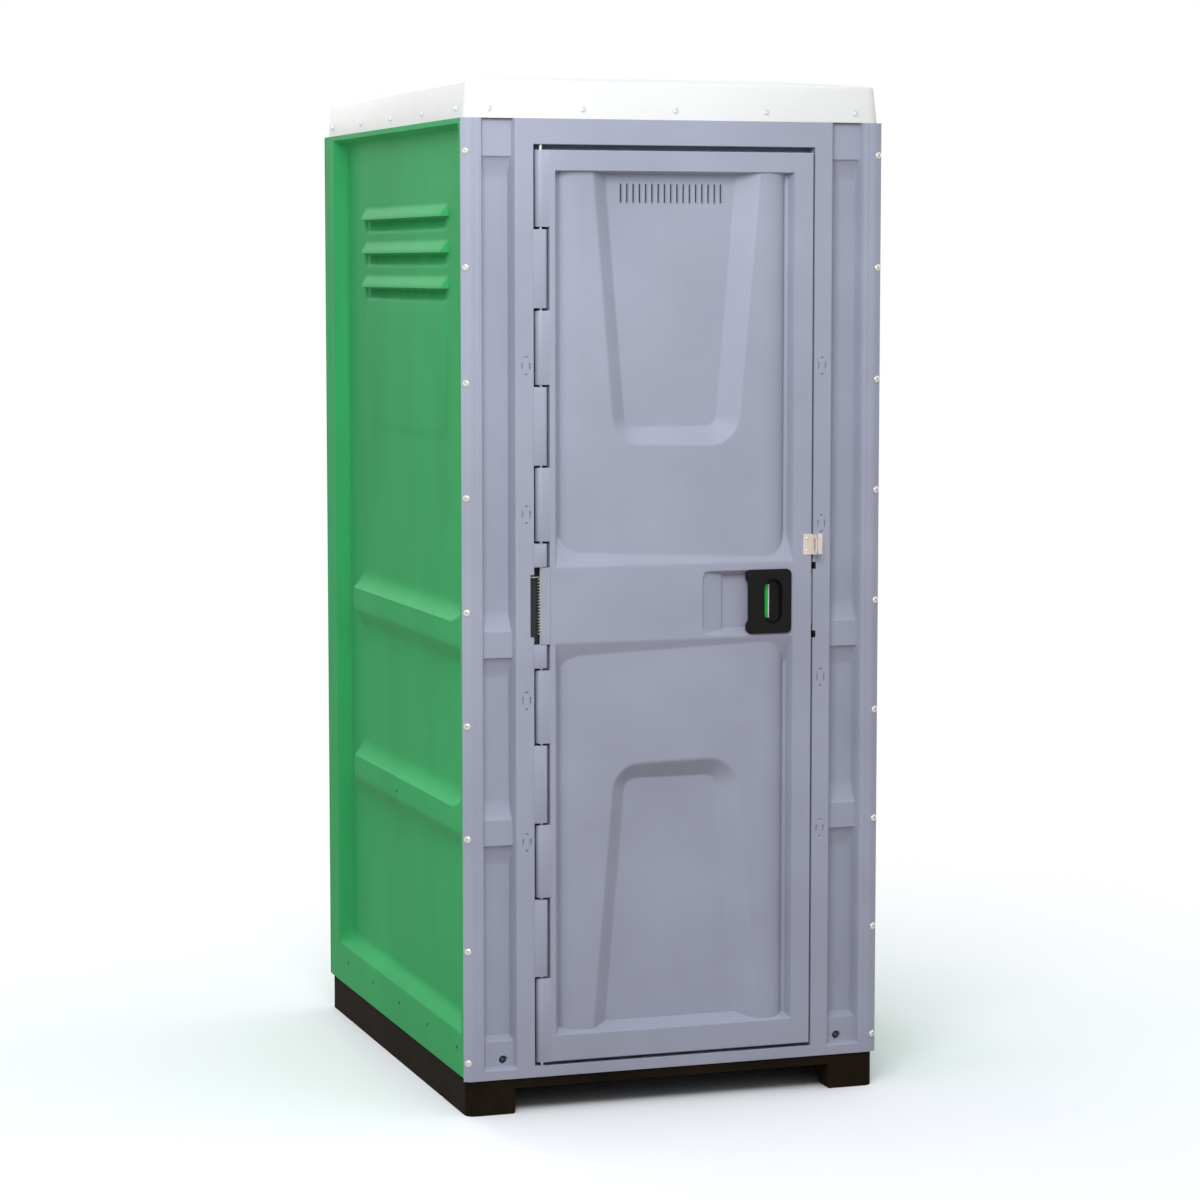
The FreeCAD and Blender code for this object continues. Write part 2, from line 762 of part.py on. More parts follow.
def corner_cheek():
    """The folded corner of the rear wall: facet and the cheek inside the side wall."""
    x = body_half_width
    y = body_depth
    points = [Vec(x - facet_width, y, wall_bottom), Vec(x, y - facet_depth, wall_bottom),
              Vec(x - sheet, y - facet_depth, wall_bottom),
              Vec(x - sheet, y - cheek_depth, wall_bottom),
              Vec(x - 2 * sheet, y - cheek_depth, wall_bottom),
              Vec(x - 2 * sheet, y - sheet - facet_depth / 2, wall_bottom),
              Vec(x - facet_width - 2, y - sheet, wall_bottom),
              Vec(x - facet_width - 2, y, wall_bottom)]
    return prism(points, Vec(0, 0, wall_top - wall_bottom))


def rear_wall():
    """The rear wall, with folded corners inside the side walls."""
    length = 2 * (body_half_width - facet_width)
    side = rear_wall_flange + rear_slope
    panel = wall_panel(length, rear_wall_flange, rear_wall_flange, rear_slope, rear_slope,
                       side + louvre_margin, length - 2 * (side + louvre_margin), rear_slope,
                       0.0, 0.0)
    panel = turned(panel, 180, Vec(length / 2, body_depth, 0))
    wall = fuse([panel] + both_sides([corner_cheek()]))
    wall = drill_for(wall, rear_plinth_places(), screw_shank, 30)
    rear = [p for p in roof_screw_places() if p[1].y > 0.5]
    wall = drill_for(wall, rear, screw_shank, 30)
    return drill_for(wall, facet_rivet_places(False), rivet_shank, 30)


def channel_wedge(inner, outer, floor, draft, z0, z1):
    """A channel whose sides slope in towards its floor, cut from the face."""
    points = [Vec(inner, -1, z0), Vec(outer, -1, z0), Vec(outer, 0, z0),
              Vec(outer - draft, floor, z0), Vec(inner + draft, floor, z0), Vec(inner, 0, z0)]
    return prism(points, Vec(0, 0, z1 - z0))


def cross_block(z0, z1):
    """A block across the channel, with hollowed ramps above and below it."""
    x = channel_inner
    face = cross_block_face
    floor = channel_depth
    ramp = cross_block_ramp
    low = Vec(x, floor, z0 - ramp)
    low_mid = Vec(x, floor - cross_block_sag, z0 - ramp * 0.42)
    high_mid = Vec(x, floor - cross_block_sag, z1 + ramp * 0.42)
    high = Vec(x, floor, z1 + ramp)
    edges = [Part.Arc(low, low_mid, Vec(x, face, z0)).toShape(),
             Part.makeLine(Vec(x, face, z0), Vec(x, face, z1)),
             Part.Arc(Vec(x, face, z1), high_mid, high).toShape(),
             Part.makeLine(high, Vec(x, floor + 1, z1 + ramp)),
             Part.makeLine(Vec(x, floor + 1, z1 + ramp), Vec(x, floor + 1, z0 - ramp)),
             Part.makeLine(Vec(x, floor + 1, z0 - ramp), low)]
    return Part.Face(Part.Wire(edges)).extrude(Vec(channel_outer - channel_inner, 0, 0))


def bottom_block():
    """The block at the foot of a column, with a bevelled top."""
    x = channel_inner
    face = bottom_block_face
    top = bottom_block_top
    points = [Vec(x, face, channel_bottom), Vec(x, face, top),
              Vec(x, channel_depth, top + bottom_block_bevel),
              Vec(x, channel_depth + 1, channel_bottom)]
    return prism(points, Vec(channel_outer - channel_inner, 0, 0))


def column_bolt_places():
    """Bolts through the foot blocks of the columns into the base."""
    depth = bottom_block_face + column_bolt_sink
    return [(Vec(side * column_bolt_x, depth, column_bolt_level), Vec(0, -1, 0))
            for side in (-1, 1)]


def frame_outline():
    """Plan view of the frame as a solid block, with facets at its corners."""
    x = body_half_width
    back = facet_depth + frame_return
    right = [Vec(x - facet_width, 0, 0), Vec(x, facet_depth, 0), Vec(x - sheet, facet_depth, 0),
             Vec(x - sheet, back, 0), Vec(frame_side, back, 0), Vec(frame_side, frame_depth, 0)]
    left = [Vec(-p.x, p.y, 0) for p in reversed(right)]
    points = right + left
    block = prism(points, Vec(0, 0, wall_top - base_height))
    block.translate(Vec(0, 0, base_height))
    return block


def frame_hollow():
    """The open space in the back of the columns, header and sill."""
    skin = frame_skin
    column = box(doorway_half_width + skin, frame_side - skin, skin, frame_depth + 1,
                 base_height + skin, wall_top - skin)
    guard = box(channel_inner - skin, channel_outer + skin, 0, channel_depth + skin,
                base_height, wall_top)
    column = column.cut(guard)
    header = box(-doorway_half_width - skin, doorway_half_width + skin, skin, frame_depth + 1,
                 doorway_top + skin, wall_top - skin)
    stop_guard = box(-doorway_half_width, doorway_half_width, stop_start - 1, frame_depth + 1,
                     doorway_top - stop_lap, doorway_top + skin + stop_lap)
    header = header.cut(stop_guard)
    return both_sides([column]) + [header]


def frame_knuckle_spans():
    """Heights of the knuckles that belong to the frame."""
    low = lower_knuckle_start
    high = upper_knuckle_start
    spans = [(low, low + lower_knuckle_pitch),
             (low + 2 * lower_knuckle_pitch, low + 3 * lower_knuckle_pitch),
             (low + 4 * lower_knuckle_pitch, spring_bay[0]), (spring_bay[1], high)]
    for k in range(1, upper_knuckle_count, 2):
        spans.append((high + k * upper_knuckle_pitch, high + (k + 1) * upper_knuckle_pitch))
    return spans


def door_knuckle_spans():
    """Heights of the knuckles that belong to the door, between those of the frame."""
    low = lower_knuckle_start
    high = upper_knuckle_start
    gap = knuckle_gap
    spans = [(door_bottom, low - gap),
             (low + lower_knuckle_pitch + gap, low + 2 * lower_knuckle_pitch - gap),
             (low + 3 * lower_knuckle_pitch + gap, low + 4 * lower_knuckle_pitch - gap)]
    for k in range(0, upper_knuckle_count, 2):
        top = high + (k + 1) * upper_knuckle_pitch
        end = top if k == upper_knuckle_count - 1 else top - gap
        spans.append((high + k * upper_knuckle_pitch + gap, end))
    return spans


def frame_knuckle(z0, z1):
    """A knuckle of the frame, square on its root side and rounded beyond the pin."""
    block = box(-doorway_half_width - 2, pin_x + knuckle_end, 0, 2 * pin_depth, z0, z1)
    edges = edges_along(block, Vec(0, 0, 1), lambda c: c.x > pin_x)
    return block.makeFillet(knuckle_round, edges)


def front_frame():
    """The door frame: two columns with channels, header, sill, door stop and knuckles."""
    frame = frame_outline()
    half = doorway_half_width
    frame = frame.cut(Part.makeCompound(frame_hollow()))
    opening = box(-half, half, -1, stop_start, doorway_bottom, doorway_top)
    through = box(hinge_stop_lap - half, half - stop_lap, stop_start - 2, frame_depth + 1,
                  doorway_bottom + stop_lap, doorway_top - stop_lap)
    channel = channel_wedge(channel_inner, channel_outer, channel_depth, channel_draft,
                            channel_bottom, wall_top + 1)
    frame = frame.cut(Part.makeCompound([opening, through] + both_sides([channel])))
    blocks = [cross_block(z0, z1) for z0, z1 in cross_block_levels] + [bottom_block()]
    below = box(0, body_half_width, 0, frame_depth, 0, wall_top)
    blocks = [block.common(below) for block in blocks]
    knuckles = [frame_knuckle(z0, z1) for z0, z1 in frame_knuckle_spans()]
    stiles = [box(half, half + frame_skin, frame_skin - 1, frame_depth, doorway_bottom,
                  doorway_top)]
    frame = fuse([frame] + both_sides(blocks) + both_sides(stiles) + knuckles)
    frame = frame.fuse(roof_upstand(roof_corner - upstand_half, upstand_half - roof_corner))
    bore = rod(pin_radius, doorway_top - doorway_bottom + 2 * pin_bite,
               Vec(pin_x, pin_depth, doorway_bottom - pin_bite), Vec(0, 0, 1))
    slot = box(-half - spring_slot_depth, -half + 1, 2, 2 * pin_depth - 2, spring_slot[0],
               spring_slot[1])
    pocket = box(half - 1, half + frame_skin + 12, bolt_front - 6,
                 bolt_front + bolt_thickness + 6, band_middle - bolt_height,
                 band_middle + bolt_height)
    notches = []
    for side in (-1, 1):
        level = band_middle + side * edge_notch_spacing / 2
        notches.append(box(half - 1, half + edge_notch_width, -1, 12,
                           level - edge_notch_height / 2, level + edge_notch_height / 2))
    strike_seat = strike_outline(0.0)
    frame = frame.cut(Part.makeCompound([bore, slot, pocket, strike_seat] + notches))
    sink = column_bolt_sink
    holes = [rod(column_bolt_hole, sink, place + Vec(0, -sink, 0), Vec(0, 1, 0))
             for place, normal in column_bolt_places()]
    frame = frame.cut(Part.makeCompound(holes))
    frame = drill_for(frame, column_bolt_places(), column_bolt_radius, 60)
    front = [p for p in roof_screw_places() if p[1].y < -0.5]
    frame = drill_for(frame, front, screw_shank, 30)
    frame = drill_for(frame, facet_rivet_places(True), rivet_shank, 30)
    frame = drill_for(frame, hasp_rivet_places(False), hasp_rivet_shank, 20)
    return frame.removeSplitter()


def strike_outline(clearance):
    """The block that the strike plate fills in the edge of the right column."""
    x0 = doorway_half_width
    y0 = bolt_front + bolt_thickness / 2 - strike_width / 2
    half_height = strike_height / 2 - edge_notch_height
    return box(x0 - 1 + clearance, x0 + strike_thickness, y0, y0 + strike_width,
               band_middle - half_height, band_middle + half_height)


def strike_plate():
    """Steel plate let into the column's edge, with a slot for the bolt."""
    plate = strike_outline(1.0)
    slot = box(doorway_half_width - 2, doorway_half_width + 10, bolt_front - 2,
               bolt_front + bolt_thickness + 2, band_middle - bolt_height / 2 - 3,
               band_middle + bolt_height / 2 + 3)
    return plate.cut(slot)


def door_recess_side(side, level, z, offset):
    """One side of a door recess in section: steep wall, foot bevel and the field's round edge."""
    rim = Vec(side * (door_recess_half_width + offset), -1, z)
    wall = Vec(side * (recess_foot + door_foot_width + offset), door_wall_depth + offset, z)
    foot = Vec(side * (recess_foot + offset), door_wall_depth + door_foot_depth + offset, z)
    edge = Vec(side * door_field_half_width, level + offset, z)
    arc = arc_from_tangent(edge, Vec(side, 0, 0), foot)
    return rim, edge, [Part.makeLine(rim, wall), Part.makeLine(wall, foot), arc]


def door_recess(z_low, z_high, slope_low, slope_high, offset):
    """One of the two long recesses of the door, made larger all round by an offset."""
    z = z_low - 60
    left_rim, left_edge, left = door_recess_side(-1, door_field_left, z, offset)
    right_rim, right_edge, right = door_recess_side(1, door_field_right, z, offset)
    edges = left + right + [Part.makeLine(left_edge, right_edge),
                            Part.makeLine(right_rim, left_rim)]
    face = Part.Face(Part.Wire(Part.__sortEdges__(edges)))
    block = face.extrude(Vec(0, 0, z_high - z_low + 120))
    return block.common(recess_limits(z_low, z_high, slope_low, slope_high, offset))


def recess_limits(z_low, z_high, slope_low, slope_high, offset):
    """A block whose ends slope, which trims the top and foot of a door recess."""
    half = door_recess_half_width + offset + 5
    deep = shell_depth + 5
    low = z_low - offset * math.hypot(1, slope_low)
    high = z_high + offset * math.hypot(1, slope_high)
    points = [Vec(-half, -2, low - 2 * slope_low), Vec(-half, deep, low + deep * slope_low),
              Vec(-half, deep, high - deep * slope_high),
              Vec(-half, -2, high + 2 * slope_high)]
    return prism(points, Vec(2 * half, 0, 0))


def door_pocket(z_open, z_end, offset):
    """A tapered pocket in the door's field, open at the recess end and closed at the other."""
    up = 1 if z_open > z_end else -1
    z_far = z_open + up * pocket_bevel
    inner = [(-pocket_wide - offset, z_far), (pocket_wide + offset, z_far),
             (pocket_narrow + offset, z_end - up * offset),
             (-pocket_narrow - offset, z_end - up * offset)]
    spread = pocket_bevel
    outer = [(x + math.copysign(spread, x), z) for x, z in inner]
    outer = outer[:2] + [(x, z - up * spread) for x, z in outer[2:]]
    front = pocket_wire(outer, 0.0, pocket_corner + spread * 0.8)
    floor = pocket_wire(inner, pocket_floor + offset, pocket_corner)
    return frustum(front, floor)


def pocket_wire(points, y, radius):
    """A four-cornered outline whose two closed-end corners are round."""
    a, b, c, d = [Vec(x, y, z) for x, z in points]
    c_in, c_mid, c_out = round_corner(b, c, d, radius)
    d_in, d_mid, d_out = round_corner(c, d, a, radius)
    return Part.Wire([Part.makeLine(a, b), Part.makeLine(b, c_in),
                      Part.Arc(c_in, c_mid, c_out).toShape(), Part.makeLine(c_out, d_in),
                      Part.Arc(d_in, d_mid, d_out).toShape(), Part.makeLine(d_out, a)])


def round_corner(before, corner, after, radius):
    """Start, middle and end of the arc that rounds a corner."""
    u = (before - corner).normalize()
    v = (after - corner).normalize()
    half_angle = u.getAngle(v) / 2
    setback = radius / math.tan(half_angle)
    bisector = (u + v).normalize()
    centre = corner + bisector * (radius / math.sin(half_angle))
    return corner + u * setback, centre - bisector * radius, corner + v * setback


def grip_pocket(offset):
    """The hand recess beside the latch plate, with a long ramp on its open side."""
    half = latch_half - 1 + offset
    deep = grip_depth + offset
    outer = [(grip_left - offset, band_middle - half), (grip_end, band_middle - half),
             (grip_end, band_middle + half), (grip_left - offset, band_middle + half)]
    inner_half = half - grip_draft
    ramp_foot = grip_left + grip_ramp - offset
    inner = [(ramp_foot, band_middle - inner_half), (grip_end, band_middle - inner_half),
             (grip_end, band_middle + inner_half), (ramp_foot, band_middle + inner_half)]
    front = Part.makePolygon([Vec(x, -0.5, z) for x, z in outer + outer[:1]])
    floor = Part.makePolygon([Vec(x, deep, z) for x, z in inner + inner[:1]])
    return frustum(front, floor)


def upright_slot(x, radius, z0, z1, y0, y1):
    """A block with round ends, standing upright."""
    middle = box(x - radius, x + radius, y0, y1, z0 + radius, z1 - radius)
    ends = [rod(radius, y1 - y0, Vec(x, y0, z), Vec(0, 1, 0))
            for z in (z0 + radius, z1 - radius)]
    return middle.multiFuse(ends).removeSplitter()


def vent_row(grow, depth_from, depth_to):
    """The row of narrow upright air slots near the top of the door, as solids."""
    first = -(vent_slot_count - 1) / 2
    return [upright_slot((first + k) * vent_slot_pitch, vent_slot_width / 2 + grow,
                         vent_slot_levels[0] - grow, vent_slot_levels[1] + grow,
                         depth_from, depth_to) for k in range(vent_slot_count)]


def door_knuckle(z0, z1):
    """A door knuckle: a round nose on the pin, joined to the edge of the leaf."""
    nose = rod(nose_radius, z1 - z0, Vec(pin_x, pin_depth, z0), Vec(0, 0, 1))
    web = box(pin_x, door_left + 1, 0, 2 * pin_depth, z0, z1)
    return nose.fuse(web)


def door_hollows(offset):
    """The recesses, pockets and grip of the door's front, made larger by an offset."""
    upper = upper_recess + (band_slope, recess_end_slope)
    lower = lower_recess + (recess_end_slope, band_slope)
    upper_pocket = door_pocket(upper_recess[1], upper_pocket_end, offset)
    lower_pocket = door_pocket(lower_recess[0], lower_pocket_end, offset)
    return [door_recess(*upper, offset), door_recess(*lower, offset),
            upper_pocket.common(recess_limits(*upper, offset)),
            lower_pocket.common(recess_limits(*lower, offset)), grip_pocket(offset)]


def door_outer_shell():
    """The door's front shell: rim, two crowned recesses, flat band, grip pocket and knuckles."""
    body = box(door_left, door_right, 0, shell_depth, door_bottom, door_top)
    skin = door_skin
    cavity = box(door_left + skin, door_right - skin, skin, shell_depth + 1,
                 door_bottom + skin, door_top - skin)
    for hollow in door_hollows(skin):
        cavity = cavity.cut(hollow)
    for hollow in door_hollows(0.0):
        body = body.cut(hollow)
    shell = body.cut(cavity)
    knuckles = [door_knuckle(z0, z1) for z0, z1 in door_knuckle_spans()]
    rims = vent_row(vent_rim_width, pocket_floor - vent_rim_height, pocket_floor + 1)
    shell = shell.multiFuse(knuckles + rims)
    bore = rod(pin_radius + running_clearance, door_top, Vec(pin_x, pin_depth, 0), Vec(0, 0, 1))
    gap = guide_clearance
    edge_slot = box(door_right - skin - 1, door_right + 1, bolt_front - gap,
                    bolt_front + bolt_thickness + gap, band_middle - bolt_height / 2 - gap,
                    band_middle + bolt_height / 2 + gap)
    slots = vent_row(0.0, pocket_floor - 6, shell_depth + 6)
    shell = shell.cut(Part.makeCompound([bore, edge_slot, latch_window_cut()] + slots))
    shell = drill_for(shell, hasp_rivet_places(True), hasp_rivet_shank, 20)
    return shell.removeSplitter()


def latch_window_cut():
    """The opening in the door's front shell behind the latch plate."""
    room = 4.0
    left = handle_left + 14.0
    right = oval_right + room
    half = oval_height / 2 + room
    return box(left, right, -1, shell_depth - 4, band_middle - half, band_middle + half)


def door_inner_shell():
    """The flat back of the door, with the slot for the inside knob."""
    plate = box(door_left, door_right, shell_depth, shell_depth + inner_shell, door_bottom,
                door_top)
    slot = box(knob_centre() - stem_width / 2 - 1, knob_centre() + stem_width / 2 + 1
               + latch_travel, shell_depth - 1, shell_depth + inner_shell + 1,
               band_middle - stem_width / 2 - 1, band_middle + stem_width / 2 + 1)
    slots = vent_row(0.0, shell_depth - 1, shell_depth + inner_shell + 1)
    return plate.cut(Part.makeCompound([slot] + slots))


def hinge_pin():
    """The full-height hinge pin, held in the header and the sill."""
    return rod(pin_radius, doorway_top - doorway_bottom + 2 * pin_bite,
               Vec(pin_x, pin_depth, doorway_bottom - pin_bite), Vec(0, 0, 1))


def arc_from_tangent(start, tangent, end):
    """The arc that leaves a point along a tangent and reaches another point."""
    chord = end - start
    half_turn = tangent.getAngle(chord)
    radius = chord.Length / (2 * math.sin(half_turn))
    middle = start + chord * 0.5
    towards = tangent - chord * (tangent.dot(chord) / chord.dot(chord))
    sagitta = radius * (1 - math.cos(half_turn))
    return Part.Arc(start, middle + towards.normalize() * sagitta, end).toShape()


def biarc(start, start_tangent, end, end_tangent):
    """Two arcs that join two points and match the tangent at each."""
    span = end - start
    both = start_tangent + end_tangent
    a = 2 * (1 - start_tangent.dot(end_tangent))
    b = 2 * span.dot(both)
    c = -span.dot(span)
    reach = (-b + math.sqrt(b * b - 4 * a * c)) / (2 * a)
    joint = (start + start_tangent * reach + end - end_tangent * reach) * 0.5
    first = arc_from_tangent(start, start_tangent, joint)
    joint_tangent = (end - end_tangent * reach - start - start_tangent * reach).normalize()
    second = arc_from_tangent(joint, joint_tangent, end)
    return [first, second]


def spring_point(turn):
    """Centre of the spring's wire after a number of turns, and its direction there."""
    angle = 2 * math.pi * turn + math.pi / 2
    radius = spring_mean_radius
    point = Vec(pin_x + radius * math.cos(angle), pin_depth + radius * math.sin(angle),
                spring_bottom + spring_pitch * turn)
    rise = spring_pitch / (2 * math.pi)
    tangent = Vec(-radius * math.sin(angle), radius * math.cos(angle), rise).normalize()
    return point, tangent


def door_spring():
    """The closer spring: one wire wound round the pin, with a straight leg at each end.

    The lower leg bears on the cover's angle on the door, the upper one on the frame's pocket."""
    start, start_tangent = spring_point(0)
    end, end_tangent = spring_point(spring_turns)
    lower_leg = (leaf_edge - cover_thickness - spring_end_gap) / -start_tangent.x
    upper_reach = pin_x + doorway_half_width + spring_slot_depth - spring_end_gap
    upper_leg = upper_reach / -end_tangent.x
    edges = [Part.makeLine(start - start_tangent * lower_leg, start)]
    for half in range(2 * spring_turns):
        a, a_tangent = spring_point(half / 2)
        b, b_tangent = spring_point((half + 1) / 2)
        edges += biarc(a, a_tangent, b, b_tangent)
    edges.append(Part.makeLine(end, end + end_tangent * upper_leg))
    path = Part.Wire(edges)
    origin = start - start_tangent * lower_leg
    section = Part.Wire([Part.makeCircle(spring_wire / 2, origin, start_tangent)])
    shell = Part.BRepOffsetAPI.MakePipeShell(path)
    shell.add(section)
    shell.build()
    shell.makeSolid()
    print("spring least gap", round(spring_gap(), 3))
    return shell.shape()


def spring_gap():
    """Least distance between neighbouring turns, measured on points along the wire."""
    steps = 48
    points = [spring_point(k / steps)[0] for k in range(3 * steps)]
    least = points[0].distanceToPoint(points[steps])
    for i in range(steps):
        for j in range(i + steps // 2, len(points)):
            least = min(least, points[i].distanceToPoint(points[j]))
    return least - spring_wire


def spring_cover():
    """The angle plate on the door's edge that covers the front of the closer spring."""
    room = 1.0
    low = spring_bay[0] + room
    high = spring_bay[1] - room
    face = box(pin_x - cover_reach, door_left, 0, cover_thickness, low, high)
    edges = edges_along(face, Vec(0, 1, 0), lambda c: c.x < pin_x)
    face = face.makeFillet(cover_corner, edges)
    leg = box(door_left - cover_thickness, door_left, 0, 2 * pin_depth - 2, low, high)
    return face.fuse(leg).removeSplitter()


def latch_handle():
    """The black latch plate, with an oval hollow whose floor has the indicator window."""
    left = handle_left
    z0 = band_middle - latch_half
    z1 = band_middle + latch_half
    plate = box(left, handle_right, -handle_proud, 0, z0, z1)
    plate = plate.makeFillet(handle_corner, edges_along(plate, Vec(0, 1, 0), lambda c: True))
    scoop = box(left - 1, left + handle_scoop, -handle_proud - 1, 1, z0 + 28, z1 - 28)
    scoop = scoop.makeFillet(4.0, edges_along(scoop, Vec(0, 1, 0), lambda c: c.x > left))
    plate = plate.cut(scoop)
    half = oval_height / 2
    rim = rounded_rectangle(oval_left, oval_right, band_middle - half, band_middle + half, 19.0,
                            -handle_proud - 0.01)
    foot = rounded_rectangle(oval_left + oval_draft, oval_right - oval_draft,
                             band_middle - half + oval_draft, band_middle + half - oval_draft,
                             19.0 - oval_draft, oval_floor - oval_floor_thickness)
    cup_rim = rounded_rectangle(oval_left - 3, oval_right + 3, band_middle - half - 3,
                                band_middle + half + 3, 22.0, -0.5)
    cup_foot = rounded_rectangle(oval_left + oval_draft - 3, oval_right - oval_draft + 3,
                                 band_middle - half + oval_draft - 3,
                                 band_middle + half - oval_draft + 3, 22.0 - oval_draft,
                                 oval_floor)
    body = plate.fuse(frustum(cup_rim, cup_foot)).cut(frustum(rim, foot))
    window = box(window_left, window_right, -1, oval_floor + 1,
                 band_middle - window_height / 2, band_middle + window_height / 2)
    return body.cut(window).removeSplitter()


def carriage_front():
    """Depth of the indicator carriage's front face."""
    return oval_floor + carriage_clearance + field_thickness


def latch_carriage():
    """The sliding plate behind the window, which carries both indicator fields."""
    front = carriage_front()
    right = window_left + field_width + 2.5
    left = right - field_width - 2.5 - latch_travel
    half = field_height / 2 + 4
    plate = box(left, right, front, front + carriage_thickness, band_middle - half,
                band_middle + half)
    web = box(bolt_start + 2, bolt_start + 12, front + carriage_thickness, bolt_front,
              band_middle - bolt_height / 2, band_middle + bolt_height / 2)
    return plate.fuse(web).removeSplitter()


def indicator_field(shift):
    """One coloured field on the carriage's front."""
    front = carriage_front()
    left = window_left + 0.5 - shift
    return box(left, left + field_width, front - field_thickness, front,
               band_middle - field_height / 2, band_middle + field_height / 2)


def latch_bolt():
    """The flat bolt that slides out of the door's edge."""
    end = door_right - bolt_setback
    bolt = box(bolt_start, end, bolt_front, bolt_front + bolt_thickness,
               band_middle - bolt_height / 2, band_middle + bolt_height / 2)
    edges = edges_along(bolt, Vec(0, 1, 0), lambda c: c.x > end - 1)
    return bolt.makeFillet(4.0, edges)


def latch_guide():
    """The block inside the door that the bolt slides through."""
    back = shell_depth
    front = bolt_front - guide_wall
    half = bolt_height / 2 + guide_wall
    block = box(guide_left, guide_right, front, back, band_middle - half, band_middle + half)
    gap = guide_clearance
    channel = box(guide_left - 1, guide_right + 1, bolt_front - gap,
                  bolt_front + bolt_thickness + gap, band_middle - bolt_height / 2 - gap,
                  band_middle + bolt_height / 2 + gap)
    return block.cut(channel)


def knob_centre():
    """Where the inside knob's stem stands on the bolt at rest."""
    return bolt_start + 16.0


def latch_knob():
    """The inside knob, whose stem passes through the door's back to the bolt."""
    x = knob_centre()
    back = shell_depth + inner_shell + escutcheon_thickness
    stem = box(x - stem_width / 2, x + stem_width / 2, bolt_front + bolt_thickness, back + 1,
               band_middle - stem_width / 2, band_middle + stem_width / 2)
    grip = box(x - knob_width / 2, x + knob_width / 2, back + 0.5, back + knob_depth,
               band_middle - knob_height / 2, band_middle + knob_height / 2)
    grip = grip.makeFillet(6.0, edges_along(grip, Vec(0, 1, 0), lambda c: True))
    return stem.fuse(grip).removeSplitter()


def latch_escutcheon():
    """The inside plate that the knob slides over."""
    x = knob_centre() + latch_travel / 2
    back = shell_depth + inner_shell
    plate = box(x - 44, x + 44, back, back + escutcheon_thickness, band_middle - 42,
                band_middle + 42)
    plate = plate.makeFillet(8.0, edges_along(plate, Vec(0, 1, 0), lambda c: True))
    slot = box(x - latch_travel / 2 - stem_width / 2 - 1, x + latch_travel / 2
               + stem_width / 2 + 1, back - 1, back + escutcheon_thickness + 1,
               band_middle - stem_width / 2 - 1, band_middle + stem_width / 2 + 1)
    return plate.cut(slot)


def hasp_bracket(door_side):
    """A sheet angle with a slotted flange for a padlock, on the door or on the frame."""
    gap_middle = (door_right + doorway_half_width) / 2
    z0 = hasp_bottom
    z1 = hasp_bottom + hasp_height
    side = -1 if door_side else 1
    inner = gap_middle + side * hasp_flange_gap
    outer = inner + side * hasp_thickness
    end = inner + side * hasp_leaf
    xs = sorted((inner, outer))
    flange = box(xs[0], xs[1], -hasp_reach, 0, z0, z1)
    flange = flange.makeFillet(7.0, edges_along(flange, Vec(1, 0, 0),
                                                lambda c: c.y < 1 - hasp_reach))
    leaf = box(min(inner, end), max(inner, end), -hasp_thickness, 0, z0, z1)
    slot = box(xs[0] - 1, xs[1] + 1, 6 - hasp_reach, 6 - hasp_reach + hasp_slot_width,
               z0 + (hasp_height - hasp_slot_height) / 2,
               z1 - (hasp_height - hasp_slot_height) / 2)
    bracket = flange.fuse(leaf).cut(slot).removeSplitter()
    return drill_for(bracket, hasp_rivet_places(door_side), hasp_rivet_shank, 20)


def hasp_rivet_places(door_side):
    """Rivets through a hasp bracket."""
    gap_middle = (door_right + doorway_half_width) / 2
    side = -1 if door_side else 1
    x = gap_middle + side * (hasp_flange_gap + hasp_leaf * 0.58)
    middle = hasp_bottom + hasp_height / 2
    return [(Vec(x, -hasp_thickness, middle + k * hasp_rivet_spacing / 2), Vec(0, -1, 0))
            for k in (-1, 1)]


def hasp_rivets(door_side):
    """The two rivets of a hasp bracket."""
    rivets = [fastener(hasp_rivet_head, 1.4, hasp_rivet_shank, 6.0, base, normal)
              for base, normal in hasp_rivet_places(door_side)]
    return Part.makeCompound(rivets)


def crowned_block(half_width, front, rear, corner, bottom, edge, crown, draft):
    """A roof-like solid: drafted sides, round corners and a low crowned top."""
    low = plan_rectangle(half_width, front, rear, corner, bottom)
    high = plan_rectangle(half_width - draft, front + draft, rear - draft, corner - draft * 0.5,
                          edge)
    body = Part.makeLoft([low, high], True, True)
    top = plan_rectangle(half_width - draft - roof_inset, front + draft + roof_inset,
                         rear - draft - roof_inset, corner, edge + crown)
    hip = Part.makeLoft([high, top], True, True)
    return body.fuse(hip)


def plan_rectangle(half_width, front, rear, corner, z):
    """A level rectangle with round corners."""
    block = box(-half_width, half_width, front, rear, z, z + 10)
    block = block.makeFillet(corner, edges_along(block, Vec(0, 0, 1), lambda c: True))
    flat = [f for f in block.Faces if abs(f.CenterOfMass.z - z) < 1e-6]
    return flat[0].OuterWire


def roof():
    """The roof: a drafted skirt and a crowned top, moulded in one."""
    half = body_half_width - roof_seat
    front = roof_seat
    rear = body_depth - roof_seat
    outer = crowned_block(half, front, rear, roof_corner, wall_top, roof_edge_height,
                          roof_crown, roof_draft)
    t = roof_skirt
    inner = crowned_block(half - t, front + t, rear - t, roof_corner - t, wall_top - 1,
                          roof_edge_height - t, roof_crown, roof_draft)
    shell = outer.cut(inner)
    hole = rod(pipe_radius + pipe_hole_gap, 2 * roof_skirt_height,
               Vec(pipe_x, pipe_y, wall_top), Vec(0, 0, 1))
    shell = shell.cut(hole)
    return drill_for(shell, roof_screw_places(), screw_shank, 30)


def roof_screws():
    """The screws round the roof's skirt."""
    return Part.makeCompound([fastener(screw_radius, screw_height, screw_shank, 12.0, base, normal)
                              for base, normal in roof_screw_places()])


